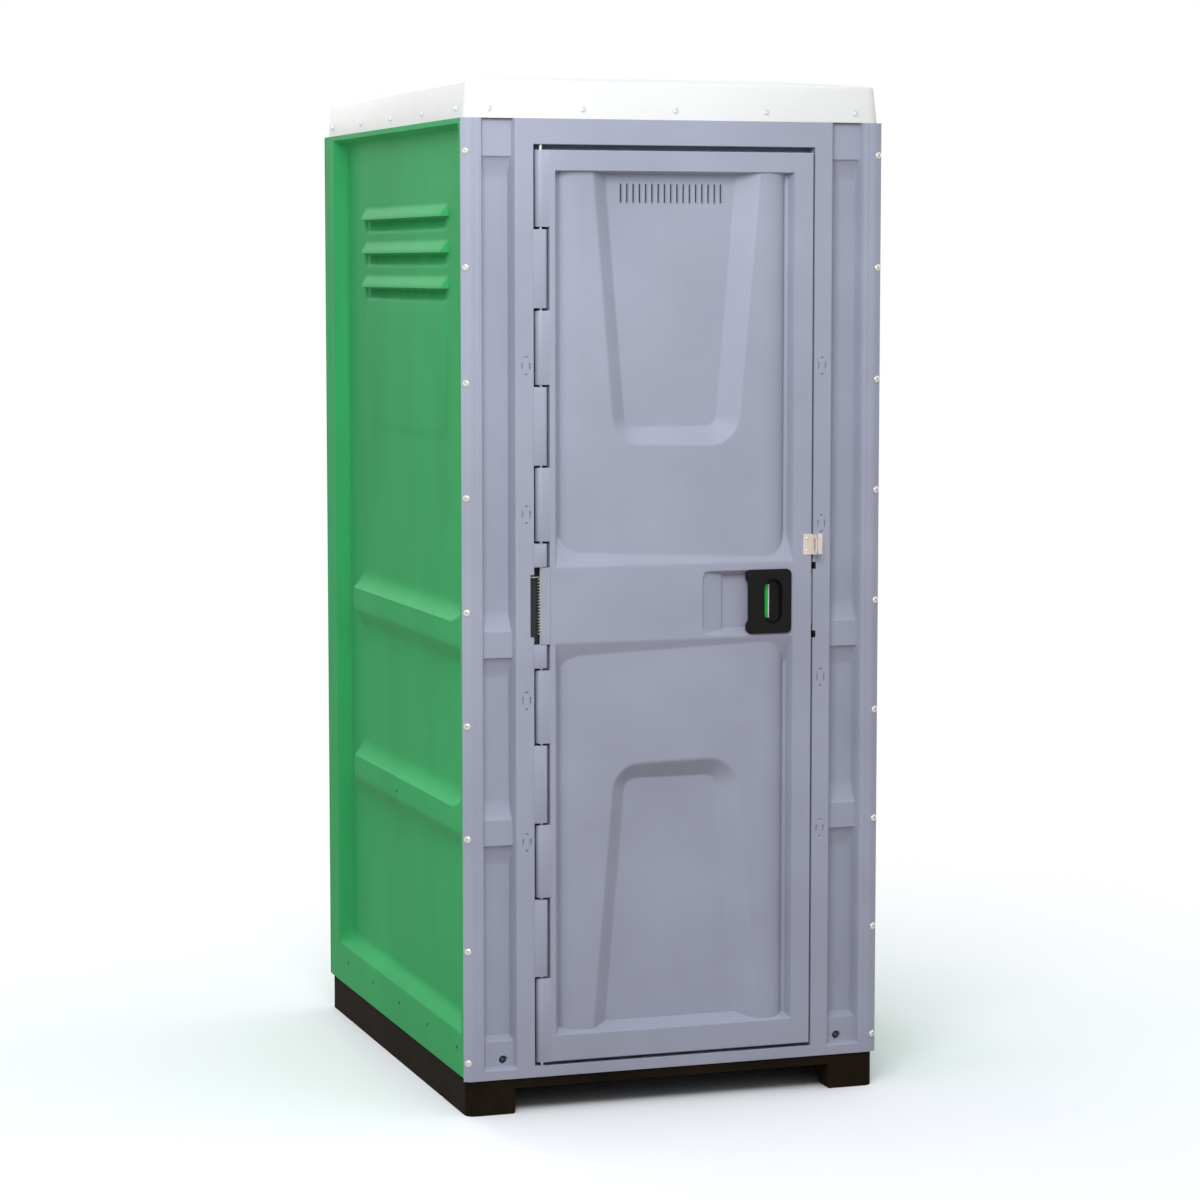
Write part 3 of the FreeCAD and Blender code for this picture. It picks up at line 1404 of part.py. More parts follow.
def plinth_screws():
    """The screws that hold the side and rear walls to the base."""
    places = side_plinth_places() + rear_plinth_places()
    return Part.makeCompound([fastener(plinth_screw_radius, plinth_screw_head, screw_shank, 14.0,
                                       base, normal) for base, normal in places])


def corner_rivets(front):
    """The rivets of the two front or the two rear corners."""
    return Part.makeCompound([fastener(rivet_radius, rivet_height, rivet_shank, 12.0, base, normal)
                              for base, normal in facet_rivet_places(front)])


def column_bolts():
    """The bolts through the foot blocks, with round heads in their counterbores."""
    bolts = []
    for place, normal in column_bolt_places():
        length = frame_depth + upstand_thickness - place.y
        bolts.append(fastener(column_bolt_radius * 1.9, 4.0, column_bolt_radius, length, place,
                              normal))
    return Part.makeCompound(bolts)


def tank_profile(inset):
    """Side view of the tank, sloping forward at its front."""
    x = -tank_half_width + inset
    low = base_height + floor_thickness + inset
    high = base_height + floor_thickness + tank_height - inset
    return [Vec(x, tank_front_bottom + inset, low), Vec(x, tank_rear - inset, low),
            Vec(x, tank_rear - inset, high), Vec(x, tank_front_top + inset, high)]


def ellipse_prism(width, length, z0, z1, centre_y):
    """An upright oval block."""
    long_side = max(width, length) / 2
    short_side = min(width, length) / 2
    major = Vec(0, 1, 0) if length >= width else Vec(1, 0, 0)
    centre = Vec(0, centre_y, z0)
    curve = Part.Ellipse(centre + major * long_side,
                         centre + Vec(major.y, major.x, 0) * short_side, centre)
    return Part.Face(Part.Wire([curve.toShape()])).extrude(Vec(0, 0, z1 - z0))


def tank_top():
    """Height of the tank's top face."""
    return base_height + floor_thickness + tank_height


def waste_tank():
    """The holding tank under the seat, with the drop hole and the vent socket."""
    outer = prism(tank_profile(0), Vec(2 * tank_half_width, 0, 0))
    low = base_height + floor_thickness
    rounded = [e for e in outer.Edges if e.CenterOfMass.z > low + 1]
    outer = outer.makeFillet(tank_edge_radius, rounded)
    inner = prism(tank_profile(tank_wall), Vec(2 * (tank_half_width - tank_wall), 0, 0))
    rounded = [e for e in inner.Edges if e.CenterOfMass.z > low + tank_wall + 1]
    inner = inner.makeFillet(tank_edge_radius - tank_wall, rounded)
    top = tank_top()
    hole = ellipse_prism(seat_hole_width, seat_hole_length, top - 20, top + 5, seat_centre)
    socket = rod(pipe_radius + pipe_wall, pipe_socket, Vec(pipe_x, pipe_y, top - 1),
                 Vec(0, 0, 1))
    bore = rod(pipe_radius, 60, Vec(pipe_x, pipe_y, top - 30), Vec(0, 0, 1))
    return outer.cut(inner).cut(hole).fuse(socket).cut(bore).removeSplitter()


def toilet_seat():
    """The oval seat ring on the tank."""
    z0 = tank_top()
    z1 = z0 + seat_thickness
    ring = ellipse_prism(seat_outer_width, seat_outer_length, z0, z1, seat_centre)
    edges = [e for e in ring.Edges if e.CenterOfMass.z > z1 - 1]
    ring = ring.makeFillet(6.0, edges)
    hole = ellipse_prism(seat_hole_width - 20, seat_hole_length - 20, z0 - 5, z1 + 20,
                         seat_centre)
    return ring.cut(hole).removeSplitter()


def lid_hinge_y():
    """Lid hinge axis behind the front face."""
    return seat_centre + lid_pin_back


def lid_hinge_z():
    """Height of the lid hinge axis."""
    return tank_top() + seat_thickness + lid_pin_lift


def seat_lid():
    """The lid over the seat, with two lugs on its pin."""
    z0 = tank_top() + seat_thickness + lid_lift
    z1 = z0 + lid_thickness
    grow = 2 * lid_overhang
    plate = ellipse_prism(seat_outer_width + grow, seat_outer_length + grow, z0, z1, seat_centre)
    top = [e for e in plate.Edges if e.CenterOfMass.z > z1 - 1]
    plate = plate.makeFillet(lid_edge, top)
    y = lid_hinge_y()
    z = lid_hinge_z()
    lugs = []
    for side in (-1, 1):
        x = side * lid_lug_x - lid_lug_width / 2
        eye = rod(lid_eye_radius, lid_lug_width, Vec(x, y, z), Vec(1, 0, 0))
        arm = box(x, x + lid_lug_width, y - lid_arm_length, y, z0, z + lid_eye_radius)
        bore = rod(lid_pin_radius + running_clearance, lid_lug_width + 2, Vec(x - 1, y, z),
                   Vec(1, 0, 0))
        lugs.append(eye.fuse(arm).cut(bore))
    return plate.multiFuse(lugs).removeSplitter()


def lid_brackets():
    """The two blocks on the tank that carry the lid's hinge pin."""
    y = lid_hinge_y()
    z = lid_hinge_z()
    reach = bracket_length / 2
    blocks = []
    for side in (-1, 1):
        x = side * bracket_x
        block = box(x - bracket_width / 2, x + bracket_width / 2, y - reach, y + reach,
                    tank_top(), z + lid_eye_radius + 2)
        block = block.makeFillet(6.0, edges_along(block, Vec(1, 0, 0), lambda c: c.z > z))
        bore = rod(lid_pin_radius, bracket_width + 2, Vec(x - bracket_width / 2 - 1, y, z),
                   Vec(1, 0, 0))
        blocks.append(block.cut(bore))
    return Part.makeCompound(blocks)


def lid_pin():
    """The hinge pin of the lid."""
    half = bracket_x + bracket_width / 2 + 2
    return rod(lid_pin_radius, 2 * half, Vec(-half, lid_hinge_y(), lid_hinge_z()), Vec(1, 0, 0))


def vent_pipe():
    """The vent stack from the tank through the roof."""
    low = tank_top() - 1.0 - tank_wall
    high = roof_edge_height + pipe_rise
    outer = rod(pipe_radius, high - low, Vec(pipe_x, pipe_y, low), Vec(0, 0, 1))
    inner = rod(pipe_radius - pipe_wall, high - low + 2, Vec(pipe_x, pipe_y, low - 1),
                Vec(0, 0, 1))
    return outer.cut(inner)


def vent_cap():
    """The rain cap on the stack, on three legs inside the pipe."""
    rim = roof_edge_height + pipe_rise
    disc_low = rim + cap_gap
    disc = rod(cap_radius, cap_wall, Vec(pipe_x, pipe_y, disc_low), Vec(0, 0, 1))
    edges = [e for e in disc.Edges if e.CenterOfMass.z > disc_low + cap_wall - 0.1]
    disc = disc.makeFillet(2.0, edges)
    legs = []
    inner = pipe_radius - pipe_wall
    for k in range(3):
        angle = 2 * math.pi * k / 3
        leg = box(inner - 5, inner, -5, 5, rim - cap_height, disc_low + 1)
        leg.rotate(Vec(0, 0, 0), Vec(0, 0, 1), math.degrees(angle))
        leg.translate(Vec(pipe_x, pipe_y, 0))
        legs.append(leg)
    bore = rod(inner, 4 * cap_height, Vec(pipe_x, pipe_y, rim - 2 * cap_height), Vec(0, 0, 1))
    legs = [leg.common(bore) for leg in legs]
    return disc.multiFuse(legs).removeSplitter()


def paper_holder():
    """The paper holder on the left wall: a back plate with two ears."""
    x = recess_depth + sheet - body_half_width
    y0 = holder_y
    z0 = holder_level
    plate = box(x, x + holder_plate, y0, y0 + holder_width, z0, z0 + holder_height)
    ears = []
    for y in (y0, y0 + holder_width - ear_thickness):
        ear = box(x, x + holder_reach, y, y + ear_thickness, z0 + 20, z0 + holder_height - 20)
        ear = ear.makeFillet(12.0, edges_along(ear, Vec(0, 1, 0), lambda c: c.x > x + 10))
        ears.append(ear)
    body = plate.multiFuse(ears)
    bore = rod(spindle_end_radius + running_clearance, holder_width + 2,
               Vec(spindle_x(), y0 - 1, spindle_z()), Vec(0, 1, 0))
    return body.cut(bore).removeSplitter()


def spindle_x():
    """Distance of the paper spindle's axis across the cabin."""
    return recess_depth + sheet - body_half_width + holder_reach - 18


def spindle_z():
    """Height of the paper spindle's axis."""
    return holder_level + holder_height / 2


def paper_spindle():
    """The spindle between the ears, thinner where it runs in them."""
    y0 = holder_y
    x = spindle_x()
    z = spindle_z()
    ends = rod(spindle_end_radius, holder_width, Vec(x, y0, z), Vec(0, 1, 0))
    gap = ear_thickness + 0.5
    drum = rod(spindle_radius, holder_width - 2 * gap, Vec(x, y0 + gap, z), Vec(0, 1, 0))
    return ends.fuse(drum)


def coat_hook():
    """The coat hook on the right wall: a plate and an upturned peg."""
    x = body_half_width - recess_depth - sheet
    face = x - hook_plate_thickness
    y = hook_y + hook_plate_width / 2
    plate = box(face, x, hook_y, hook_y + hook_plate_width, hook_level - hook_plate_height / 2,
                hook_level + hook_plate_height / 2)
    plate = plate.makeFillet(8.0, edges_along(plate, Vec(1, 0, 0), lambda c: True))
    length = hook_peg_length
    neck = length - math.sqrt(hook_knob_radius ** 2 - hook_peg_radius ** 2)
    start = Vec(0, 0, -hook_plate_thickness / 2)
    rim = Vec(hook_peg_radius, 0, -hook_plate_thickness / 2)
    throat = Vec(hook_peg_radius, 0, neck)
    tip = Vec(0, 0, length + hook_knob_radius)
    profile = [Part.makeLine(start, rim), Part.makeLine(rim, throat),
               Part.Arc(throat, Vec(hook_knob_radius, 0, length), tip).toShape(),
               Part.makeLine(tip, start)]
    root = Vec(face, y, hook_level - hook_plate_height / 4)
    peg = turned_solid(profile, root, Vec(-2, 0, 1).normalize())
    peg = peg.common(box(0, x, 0, body_depth, 0, roof_edge_height))
    return plate.fuse(peg).removeSplitter()


os.makedirs("parts", exist_ok=True)
right_wall = side_wall()
export("base_tray", base_tray())
export("floor_pan", floor_pan())
export("side_wall_right", right_wall)
export("side_wall_left", mirrored(right_wall))
export("rear_wall", rear_wall())
export("front_frame", front_frame())
export("roof", roof())
export("strike_plate", strike_plate())
export("hinge_pin", hinge_pin())
export("door_spring", door_spring())
export("door_outer_shell", door_outer_shell())
export("door_inner_shell", door_inner_shell())
export("spring_cover", spring_cover())
export("latch_handle", latch_handle())
export("latch_carriage", latch_carriage())
export("indicator_green", indicator_field(0.0))
export("indicator_red", indicator_field(latch_travel))
export("latch_bolt", latch_bolt())
export("latch_guide", latch_guide())
export("latch_knob", latch_knob())
export("latch_escutcheon", latch_escutcheon())
export("hasp_door_bracket", hasp_bracket(True))
export("hasp_frame_bracket", hasp_bracket(False))
export("hasp_door_rivets", hasp_rivets(True))
export("hasp_frame_rivets", hasp_rivets(False))
export("roof_screws", roof_screws())
export("plinth_screws", plinth_screws())
export("front_corner_rivets", corner_rivets(True))
export("rear_corner_rivets", corner_rivets(False))
export("column_bolts", column_bolts())
export("waste_tank", waste_tank())
export("toilet_seat", toilet_seat())
export("seat_lid", seat_lid())
export("lid_brackets", lid_brackets())
export("lid_pin", lid_pin())
export("vent_pipe", vent_pipe())
export("vent_cap", vent_cap())
export("paper_holder", paper_holder())
export("paper_spindle", paper_spindle())
export("coat_hook", coat_hook())
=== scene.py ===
import math

import bpy
import numpy as np
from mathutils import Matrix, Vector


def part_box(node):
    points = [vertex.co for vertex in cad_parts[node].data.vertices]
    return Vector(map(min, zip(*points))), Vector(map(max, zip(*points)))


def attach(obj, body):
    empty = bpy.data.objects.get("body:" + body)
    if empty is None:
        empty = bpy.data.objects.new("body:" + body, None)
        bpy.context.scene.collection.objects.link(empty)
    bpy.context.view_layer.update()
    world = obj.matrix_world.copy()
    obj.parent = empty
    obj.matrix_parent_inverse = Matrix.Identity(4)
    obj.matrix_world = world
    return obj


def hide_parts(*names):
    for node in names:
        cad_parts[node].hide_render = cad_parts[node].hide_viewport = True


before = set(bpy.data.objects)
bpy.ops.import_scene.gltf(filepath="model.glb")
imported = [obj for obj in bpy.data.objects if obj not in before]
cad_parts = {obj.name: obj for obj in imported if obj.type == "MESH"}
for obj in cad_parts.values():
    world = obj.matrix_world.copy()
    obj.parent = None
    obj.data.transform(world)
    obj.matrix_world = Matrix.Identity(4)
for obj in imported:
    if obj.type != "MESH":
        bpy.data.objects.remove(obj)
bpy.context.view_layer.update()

scene = bpy.context.scene
front_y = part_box("front_frame")[0][1] * 1000


# View of the cabin from its front left, a little above the latch and far enough off that the
# uprights stay almost parallel. Long lens, level horizon, no depth of field.
view = bpy.data.cameras.new("view")
view.lens = 103.226
view.sensor_width = 36.0
view_holder = bpy.data.objects.new("view", view)
view_holder.location = (-2.5939, -7.8654, 1.8886)
view_holder.rotation_euler = (math.radians(90 - 5.488), 0, math.radians(-18.409))
scene.collection.objects.link(view_holder)
scene.camera = view_holder
scene.view_settings.view_transform = "Standard"


# Studio: a wide pale floor, a surround that is brighter above than at the sides, and four soft
# lamps. The main lamp stands near the upper left of the door, so light falls off to the right.
def linear(code):
    """Linear colour of an sRGB hex value."""
    values = np.array([int(code[k:k + 2], 16) for k in (0, 2, 4)]) / 255
    low = values / 12.92
    high = ((values + 0.055) / 1.055) ** 2.4
    return tuple(np.where(values <= 0.04045, low, high)) + (1.0,)


def add(tree, kind, settings=None, links=None):
    """A new node, with settings for its sockets or properties and links to its sockets."""
    node = tree.nodes.new(kind)
    for key, value in (settings or {}).items():
        if isinstance(key, int) or key in node.inputs:
            node.inputs[key].default_value = value
        else:
            setattr(node, key, value)
    for key, source in (links or {}).items():
        tree.links.new(source, node.inputs[key])
    return node


def clean_material(name):
    """An empty node material and its tree."""
    material = bpy.data.materials.new(name)
    material.use_nodes = True
    material.node_tree.nodes.clear()
    return material, material.node_tree


def sight_lines(tree):
    """The ray kinds, and 1 where the surround is seen straight, mirrored or through a part."""
    ray = add(tree, "ShaderNodeLightPath")
    seen = add(tree, "ShaderNodeMath", {"operation": "MAXIMUM"},
               {0: ray.outputs["Is Camera Ray"], 1: ray.outputs["Is Glossy Ray"]})
    seen = add(tree, "ShaderNodeMath", {"operation": "MAXIMUM"},
               {0: seen.outputs[0], 1: ray.outputs["Is Transmission Ray"]})
    return ray, seen


# The floor is matt paper that keeps the cabin's shadow and fades to white farther out.
floor_radius = 14
floor_white, tree = clean_material("studio_floor")
place = add(tree, "ShaderNodeTexCoord")
ray, seen = sight_lines(tree)
away = add(tree, "ShaderNodeVectorMath", {"operation": "LENGTH"},
           {0: place.outputs["Object"]})
fade = add(tree, "ShaderNodeMapRange", {"From Min": 0.9, "From Max": 3.2,
                                        "interpolation_type": "SMOOTHSTEP"},
           {"Value": away.outputs["Value"]})
share = add(tree, "ShaderNodeMath", {"operation": "MULTIPLY"},
            {0: fade.outputs["Result"], 1: seen.outputs[0]})
shade = add(tree, "ShaderNodeMix", {"data_type": "RGBA", "A": linear("f2f0ed"),
                                    "B": linear("a8a199")},
            {"Factor": ray.outputs["Is Diffuse Ray"]})
paper = add(tree, "ShaderNodeBsdfDiffuse", {}, {"Color": shade.outputs["Result"]})
white = add(tree, "ShaderNodeEmission", {"Color": linear("ffffff"), "Strength": 1.0})
both = add(tree, "ShaderNodeMixShader", {}, {0: share.outputs[0], 1: paper.outputs[0],
                                             2: white.outputs[0]})
add(tree, "ShaderNodeOutputMaterial", {}, {"Surface": both.outputs[0]})

bpy.ops.mesh.primitive_circle_add(vertices=96, radius=floor_radius, fill_type="NGON")
floor = bpy.context.object
floor.name = "studio_floor"
floor.data.materials.append(floor_white)

surround = bpy.data.worlds.new("surround")
scene.world = surround
surround.use_nodes = True
tree = surround.node_tree
tree.nodes.clear()
ray, seen = sight_lines(tree)
toward = add(tree, "ShaderNodeTexCoord")
apart = add(tree, "ShaderNodeSeparateXYZ", {}, {"Vector": toward.outputs["Generated"]})
height = add(tree, "ShaderNodeMapRange", {"From Max": 0.9, "To Min": 0.2, "To Max": 1.2},
             {"Value": apart.outputs["Z"]})
soft = add(tree, "ShaderNodeBackground", {"Color": linear("e9eff9")},
           {"Strength": height.outputs["Result"]})
clear = add(tree, "ShaderNodeBackground", {"Color": linear("ffffff"), "Strength": 1.0})
both = add(tree, "ShaderNodeMixShader", {}, {0: seen.outputs[0], 1: soft.outputs[0],
                                             2: clear.outputs[0]})
add(tree, "ShaderNodeOutputWorld", {}, {"Surface": both.outputs[0]})


def lamp(name, place, aim, size, power, colour):
    """A square soft lamp that faces a point."""
    data = bpy.data.lights.new(name, "AREA")
    data.shape = "SQUARE"
    data.size = size
    data.energy = power
    data.color = linear(colour)[:3]
    holder = bpy.data.objects.new(name, data)
    holder.location = place
    toward = np.array(aim) - np.array(place)
    flat = math.hypot(toward[0], toward[1])
    holder.rotation_euler = (math.atan2(flat, -toward[2]), 0,
                             math.atan2(toward[1], toward[0]) - math.pi / 2)
    scene.collection.objects.link(holder)


lamp("front_lamp", (-1.15, -3.0, 3.1), (-0.35, -0.6, 1.75), 1.5, 74, "f2f9ff")
lamp("left_lamp", (-4.4, -1.2, 2.5), (-0.5, 0, 1.1), 2.4, 14, "ffffff")
lamp("right_lamp", (5.0, 0.4, 3.2), (0.4, 0, 1.2), 3.0, 36, "ffffff")
lamp("rear_lamp", (-1.0, 5.4, 4.0), (0, 0.4, 1.2), 3.0, 130, "ffffff")


# Pallet base: a black tray with two side skirts and four corner feet, which the walls are screwed
# to. Like nearly every large part it is polyethylene that cools against a sand-blasted mould,
# which leaves a fine even grain, a satin gloss and faint cloudy tone.
def moulded_polyethylene(name, light, dark, roughness, grain_mm, depth_mm, dust=0.0, drawn=1.0,
                         shine=0.35):
    """Satin grained plastic: two close tones in clouds about 300 mm across, and a fine grain.

    drawn stretches the clouds upright, as the sheet is drawn, and dust lies on the lowest
    220 mm. The real grain is a few tenths of a millimetre and is drawn coarser, so it shows."""
    cloud_mm, speck_mm, dust_height = 300, 18, 0.22
    material, tree = clean_material(name)
    place = add(tree, "ShaderNodeTexCoord")
    stretch = add(tree, "ShaderNodeMapping", {"Scale": (1.0, 1.0, 1 / drawn)},
                  {"Vector": place.outputs["Object"]})
    clouds = add(tree, "ShaderNodeTexNoise", {"Scale": 1000 / cloud_mm, "Detail": 4.0,
                                              "Roughness": 0.55},
                 {"Vector": stretch.outputs["Vector"]})
    tone = add(tree, "ShaderNodeMapRange", {"From Min": 0.3, "From Max": 0.7},
               {"Value": clouds.outputs["Fac"]})
    colour = add(tree, "ShaderNodeMix", {"data_type": "RGBA", "A": linear(dark),
                                         "B": linear(light)},
                 {"Factor": tone.outputs["Result"]})
    surface = colour.outputs["Result"]
    if dust:
        apart = add(tree, "ShaderNodeSeparateXYZ", {}, {"Vector": place.outputs["Object"]})
        low = add(tree, "ShaderNodeMapRange", {"From Max": dust_height, "To Min": dust,
                                               "To Max": 0.0}, {"Value": apart.outputs["Z"]})
        specks = add(tree, "ShaderNodeTexNoise", {"Scale": 1000 / speck_mm, "Detail": 5.0},
                     {"Vector": place.outputs["Object"]})
        amount = add(tree, "ShaderNodeMath", {"operation": "MULTIPLY"},
                     {0: low.outputs["Result"], 1: specks.outputs["Fac"]})
        dusted = add(tree, "ShaderNodeMix", {"data_type": "RGBA", "B": linear("8a8073")},
                     {"Factor": amount.outputs[0], "A": surface})
        surface = dusted.outputs["Result"]
    grain = add(tree, "ShaderNodeTexNoise", {"Scale": 1000 / grain_mm, "Detail": 2.0},
                {"Vector": place.outputs["Object"]})
    bump = add(tree, "ShaderNodeBump", {"Strength": 0.6, "Distance": depth_mm / 1000},
               {"Height": grain.outputs["Fac"]})
    gloss = add(tree, "ShaderNodeMapRange", {"To Min": roughness - 0.05,
                                             "To Max": roughness + 0.07},
                {"Value": clouds.outputs["Fac"]})
    skin = add(tree, "ShaderNodeBsdfPrincipled", {"IOR": 1.51, "Specular IOR Level": shine},
               {"Base Color": surface, "Roughness": gloss.outputs["Result"],
                "Normal": bump.outputs["Normal"]})
    add(tree, "ShaderNodeOutputMaterial", {}, {"Surface": skin.outputs[0]})
    return material


def finish(material, *nodes):
    """Gives carried-over nodes their material, through the slots of their meshes."""
    for node in nodes:
        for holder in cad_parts[node].material_slots:
            holder.material = material


# Black polyethylene, moulded: almost matt and brownish, with drawn-out streaks of tone.
dark_base = moulded_polyethylene("black_polyethylene", "261b10", "0f0b07", 0.7, 4.0, 0.3,
                                 dust=0.04, drawn=6.0, shine=0.03)
finish(dark_base, "base_tray")


# Floor pan: a grey moulded tread floor that lies in the base and slopes up to the tank.
# Its polyethylene is matt and dusty, so the treads show as soft shadows.
grey_tread = moulded_polyethylene("grey_floor_polyethylene", "6f7176", "66686d", 0.6, 3.0, 0.4,
                                  dust=0.5)
finish(grey_tread, "floor_pan")


# Wall panels: one deep-drawn polyethylene sheet each, with a sunk field, two broad ledges, three
# louvre hoods and a low raised panel. They are riveted and screwed along their edges.

# Sizes are millimetres, with the front face of the door frame at y = 0. Depth always counts
# inwards from the outer plane of a panel.
wall_low, wall_high = 88.0, 2218.0
wall_plane, rear_plane = 497.0, 1250.0
wall_field = 30.0
wall_sheet = 6.0
ledge_levels = (635.0, 1053.0)
ledge_face_height, ledge_face_depth = 53.0, 3.0
raised_middle, raised_half, raised_height = 1656.0, 156.0, 3.6
louvre_lips = (1846.0, 1927.0, 2008.0)
side_start, side_length = 11.0, 1228.0
rear_half, facet_width, facet_depth = 478.0, 19.0, 11.0

# Green polyethylene, drawn into a blasted mould: a soft satin with upright clouds of tone.
green_wall = moulded_polyethylene("green_polyethylene", "3cb267", "31a05a", 0.6, 3.0, 0.2,
                                  dust=0.08, drawn=2.5, shine=0.1)


def grid_lines(*marks):
    """Grid places from pairs of a start and the step that follows it; the last pair ends it."""
    runs = [np.linspace(a, b, max(1, round((b - a) / step)), endpoint=False)
            for (a, step), (b, last) in zip(marks[:-1], marks[1:])]
    return np.concatenate(runs + [[marks[-1][0]]])


def soft_min(a, b, reach):
    """The lesser of two surfaces, blended by a parabola where they differ by under reach."""
    share = np.clip(0.5 + 0.5 * (b - a) / reach, 0, 1)
    return b * (1 - share) + a * share - reach * share * (1 - share)


def soft_max(a, b, reach):
    """The greater of two surfaces, blended in the same way."""
    return -soft_min(-a, -b, reach)


def edge_round(distance, radius):
    """Depth of a quarter round at a distance from the edge: r - sqrt(r^2 - (r - d)^2)."""
    inside = np.clip(radius - distance, 0, radius)
    return radius - np.sqrt(radius ** 2 - inside ** 2)


def round_gap(side, end, radius):
    """Distance from a rectangle with round corners, less than zero inside it.

    side and end are the distances from its straight edges."""
    a, b = side + radius, end + radius
    return np.hypot(np.maximum(a, 0), np.maximum(b, 0)) + np.minimum(np.maximum(a, b), 0) - radius


def make_piece(name, points, quads, caps, material, slot, body, *nodes):
    """A smooth closed piece from points in millimetres, quads and caps given as loops.

    Its faces are turned round where the volume that they enclose comes out negative."""
    points = np.asarray(points, float).reshape(-1, 3)
    quads = np.asarray(quads).reshape(-1, 4)
    used = np.unique(np.concatenate([quads.ravel()] + list(caps)))
    place = np.zeros(len(points), int)
    place[used] = np.arange(len(used))
    points = points[used]
    quads, caps = place[quads], [place[loop] for loop in caps]
    threes = [quads[:, [0, 1, 2]], quads[:, [0, 2, 3]]]
    threes += [np.stack([np.full(len(loop) - 2, loop[0]), loop[1:-1], loop[2:]], -1)
               for loop in caps]
    a, b, c = points[np.concatenate(threes)].transpose(1, 0, 2)
    if np.einsum("ij,ij->", a, np.cross(b, c)) < 0:
        quads, caps = quads[:, ::-1], [loop[::-1] for loop in caps]
    mesh = bpy.data.meshes.new(name)
    mesh.from_pydata((points + (0, front_y, 0)) / 1000, [],
                     quads.tolist() + [loop.tolist() for loop in caps])
    mesh.validate()
    mesh.polygons.foreach_set("use_smooth", np.ones(len(mesh.polygons), bool))
    mesh.set_sharp_from_angle(angle=math.radians(32))
    mesh.materials.append(material)
    piece = bpy.data.objects.new(name, mesh)
    scene.collection.objects.link(piece)
    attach(piece, body)
    if nodes:
        finish(material, *nodes)
        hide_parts(*nodes)


def grid_quads(index):
    """Quads between the neighbours of a grid of point numbers."""
    return np.stack([index[:-1, :-1], index[1:, :-1], index[1:, 1:], index[:-1, 1:]], -1)


def sheet_faces(keep):
    """Quads of an outer and an inner grid of the same size, joined round every open edge."""
    rows, columns = keep.shape[0] + 1, keep.shape[1] + 1
    index = np.arange(rows * columns).reshape(rows, columns)
    back = rows * columns
    quads = grid_quads(index)[keep]
    parts = [quads, quads[:, ::-1] + back]
    padded = np.pad(keep.astype(int), 1)
    across = np.diff(padded[:, 1:-1], axis=0)
    along = np.diff(padded[1:-1, :], axis=1)
    for steps, first, second in ((across, index[:, :-1], index[:, 1:]),
                                 (along, index[1:, :], index[:-1, :])):
        a, b = first[steps == 1], second[steps == 1]
        parts.append(np.stack([a, b, b + back, a + back], -1))
        a, b = first[steps == -1], second[steps == -1]
        parts.append(np.stack([b, a, a + back, b + back], -1))
    return np.concatenate(parts)


def ledge_depth(along, up, level, curl):
    """Ledge in section: a slope, an upright face 3 mm deep and a hollowed slope above it.

    The upper edge curls up by a parabola over the first 107 mm behind the front lip."""
    top = level + ledge_face_height + curl * np.clip((128 - along) / 107, 0, 1) ** 2
    below = soft_max(ledge_face_depth + (level - up) * 27 / 40, ledge_face_depth, 3)
    t = np.clip((up - top) / 56, 0, 1)
    return np.maximum(below, ledge_face_depth + 27.5 * (1 - (1 - t) ** 2.3))


def louvre_depth(along, up, lip, start, end):
    """Louvre hood: an S-shaped slope above a sharp lip, with ends like a quarter of an egg."""
    t = np.clip((up - lip) / 34, 0, 1)
    hood = 14 + 16.5 * t * t * (3 - 2 * t)
    gap = np.clip(np.minimum(along - start, end - along) / 24, 0, 1)
    hood = 31 - (31 - hood) * np.sqrt(1 - (1 - gap) ** 2)
    return np.where(up < lip, 60.0, hood)


def vent_band(along, up, lip, start, end):
    """Extra depth of the band under a hood: 4 mm with a round rim, and slanted slots in it."""
    rim = -round_gap(np.maximum(start + 3 - along, along - end + 3),
                     np.maximum(lip - 31 - up, up - lip - 20), 22)
    band = 4 * np.clip(rim / 4, 0, 1) * (up < lip)
    slant = (along - (up - lip) * 1.1) / 15.0
    slot = np.clip(1.6 * np.cos(2 * np.pi * slant) - 0.2, 0, 1)
    inside = np.minimum(np.minimum(along - start - 34, end - 34 - along) / 6,
                        np.minimum(lip - 3 - up, up - lip + 27) / 3)
    return band + 4.5 * slot * np.clip(inside, 0, 1)


def panel_depth(along, up, length, first, last, louvres, ledge_end, curl):
    """Depth of a wall panel behind its outer plane.

    The field is the least of four ramps and 30 mm; ledges, hoods and the raised panel stand
    out of it, so the least of all of them is the surface."""
    first_edge, first_run = first
    last_edge, last_run = last
    sides = soft_min((along - first_edge) * wall_field / first_run,
                     (length - last_edge - along) * wall_field / last_run, 14)
    ends = soft_min((wall_high - 12 - up) * wall_field / 10, (up - 187) * wall_field / 28, 10)
    depth = soft_min(soft_min(sides, ends, 16), wall_field, 9)
    start, end = louvres
    gap = round_gap(np.abs(along - (start + end) / 2) - (end - start) / 2 + 12,
                    np.abs(up - raised_middle) - raised_half + 12, 60)
    depth = np.minimum(depth, wall_field - raised_height + 20 * (gap > 12)
                       + raised_height * np.clip(gap / 24 + 0.5, 0, 1) ** 1.5)
    for level in ledge_levels:
        ledge = ledge_depth(along, up, level, curl)
        ledge = np.where(along > ledge_end, 60.0, ledge + edge_round(ledge_end - along, 14.0))
        depth = soft_min(depth, ledge, 4)
    for lip in louvre_lips:
        depth = np.minimum(depth, louvre_depth(along, up, lip, start, end))
        depth = depth + vent_band(along, up, lip, start, end)
    return np.maximum(depth, edge_round(np.minimum(along, length - along), 2.0))


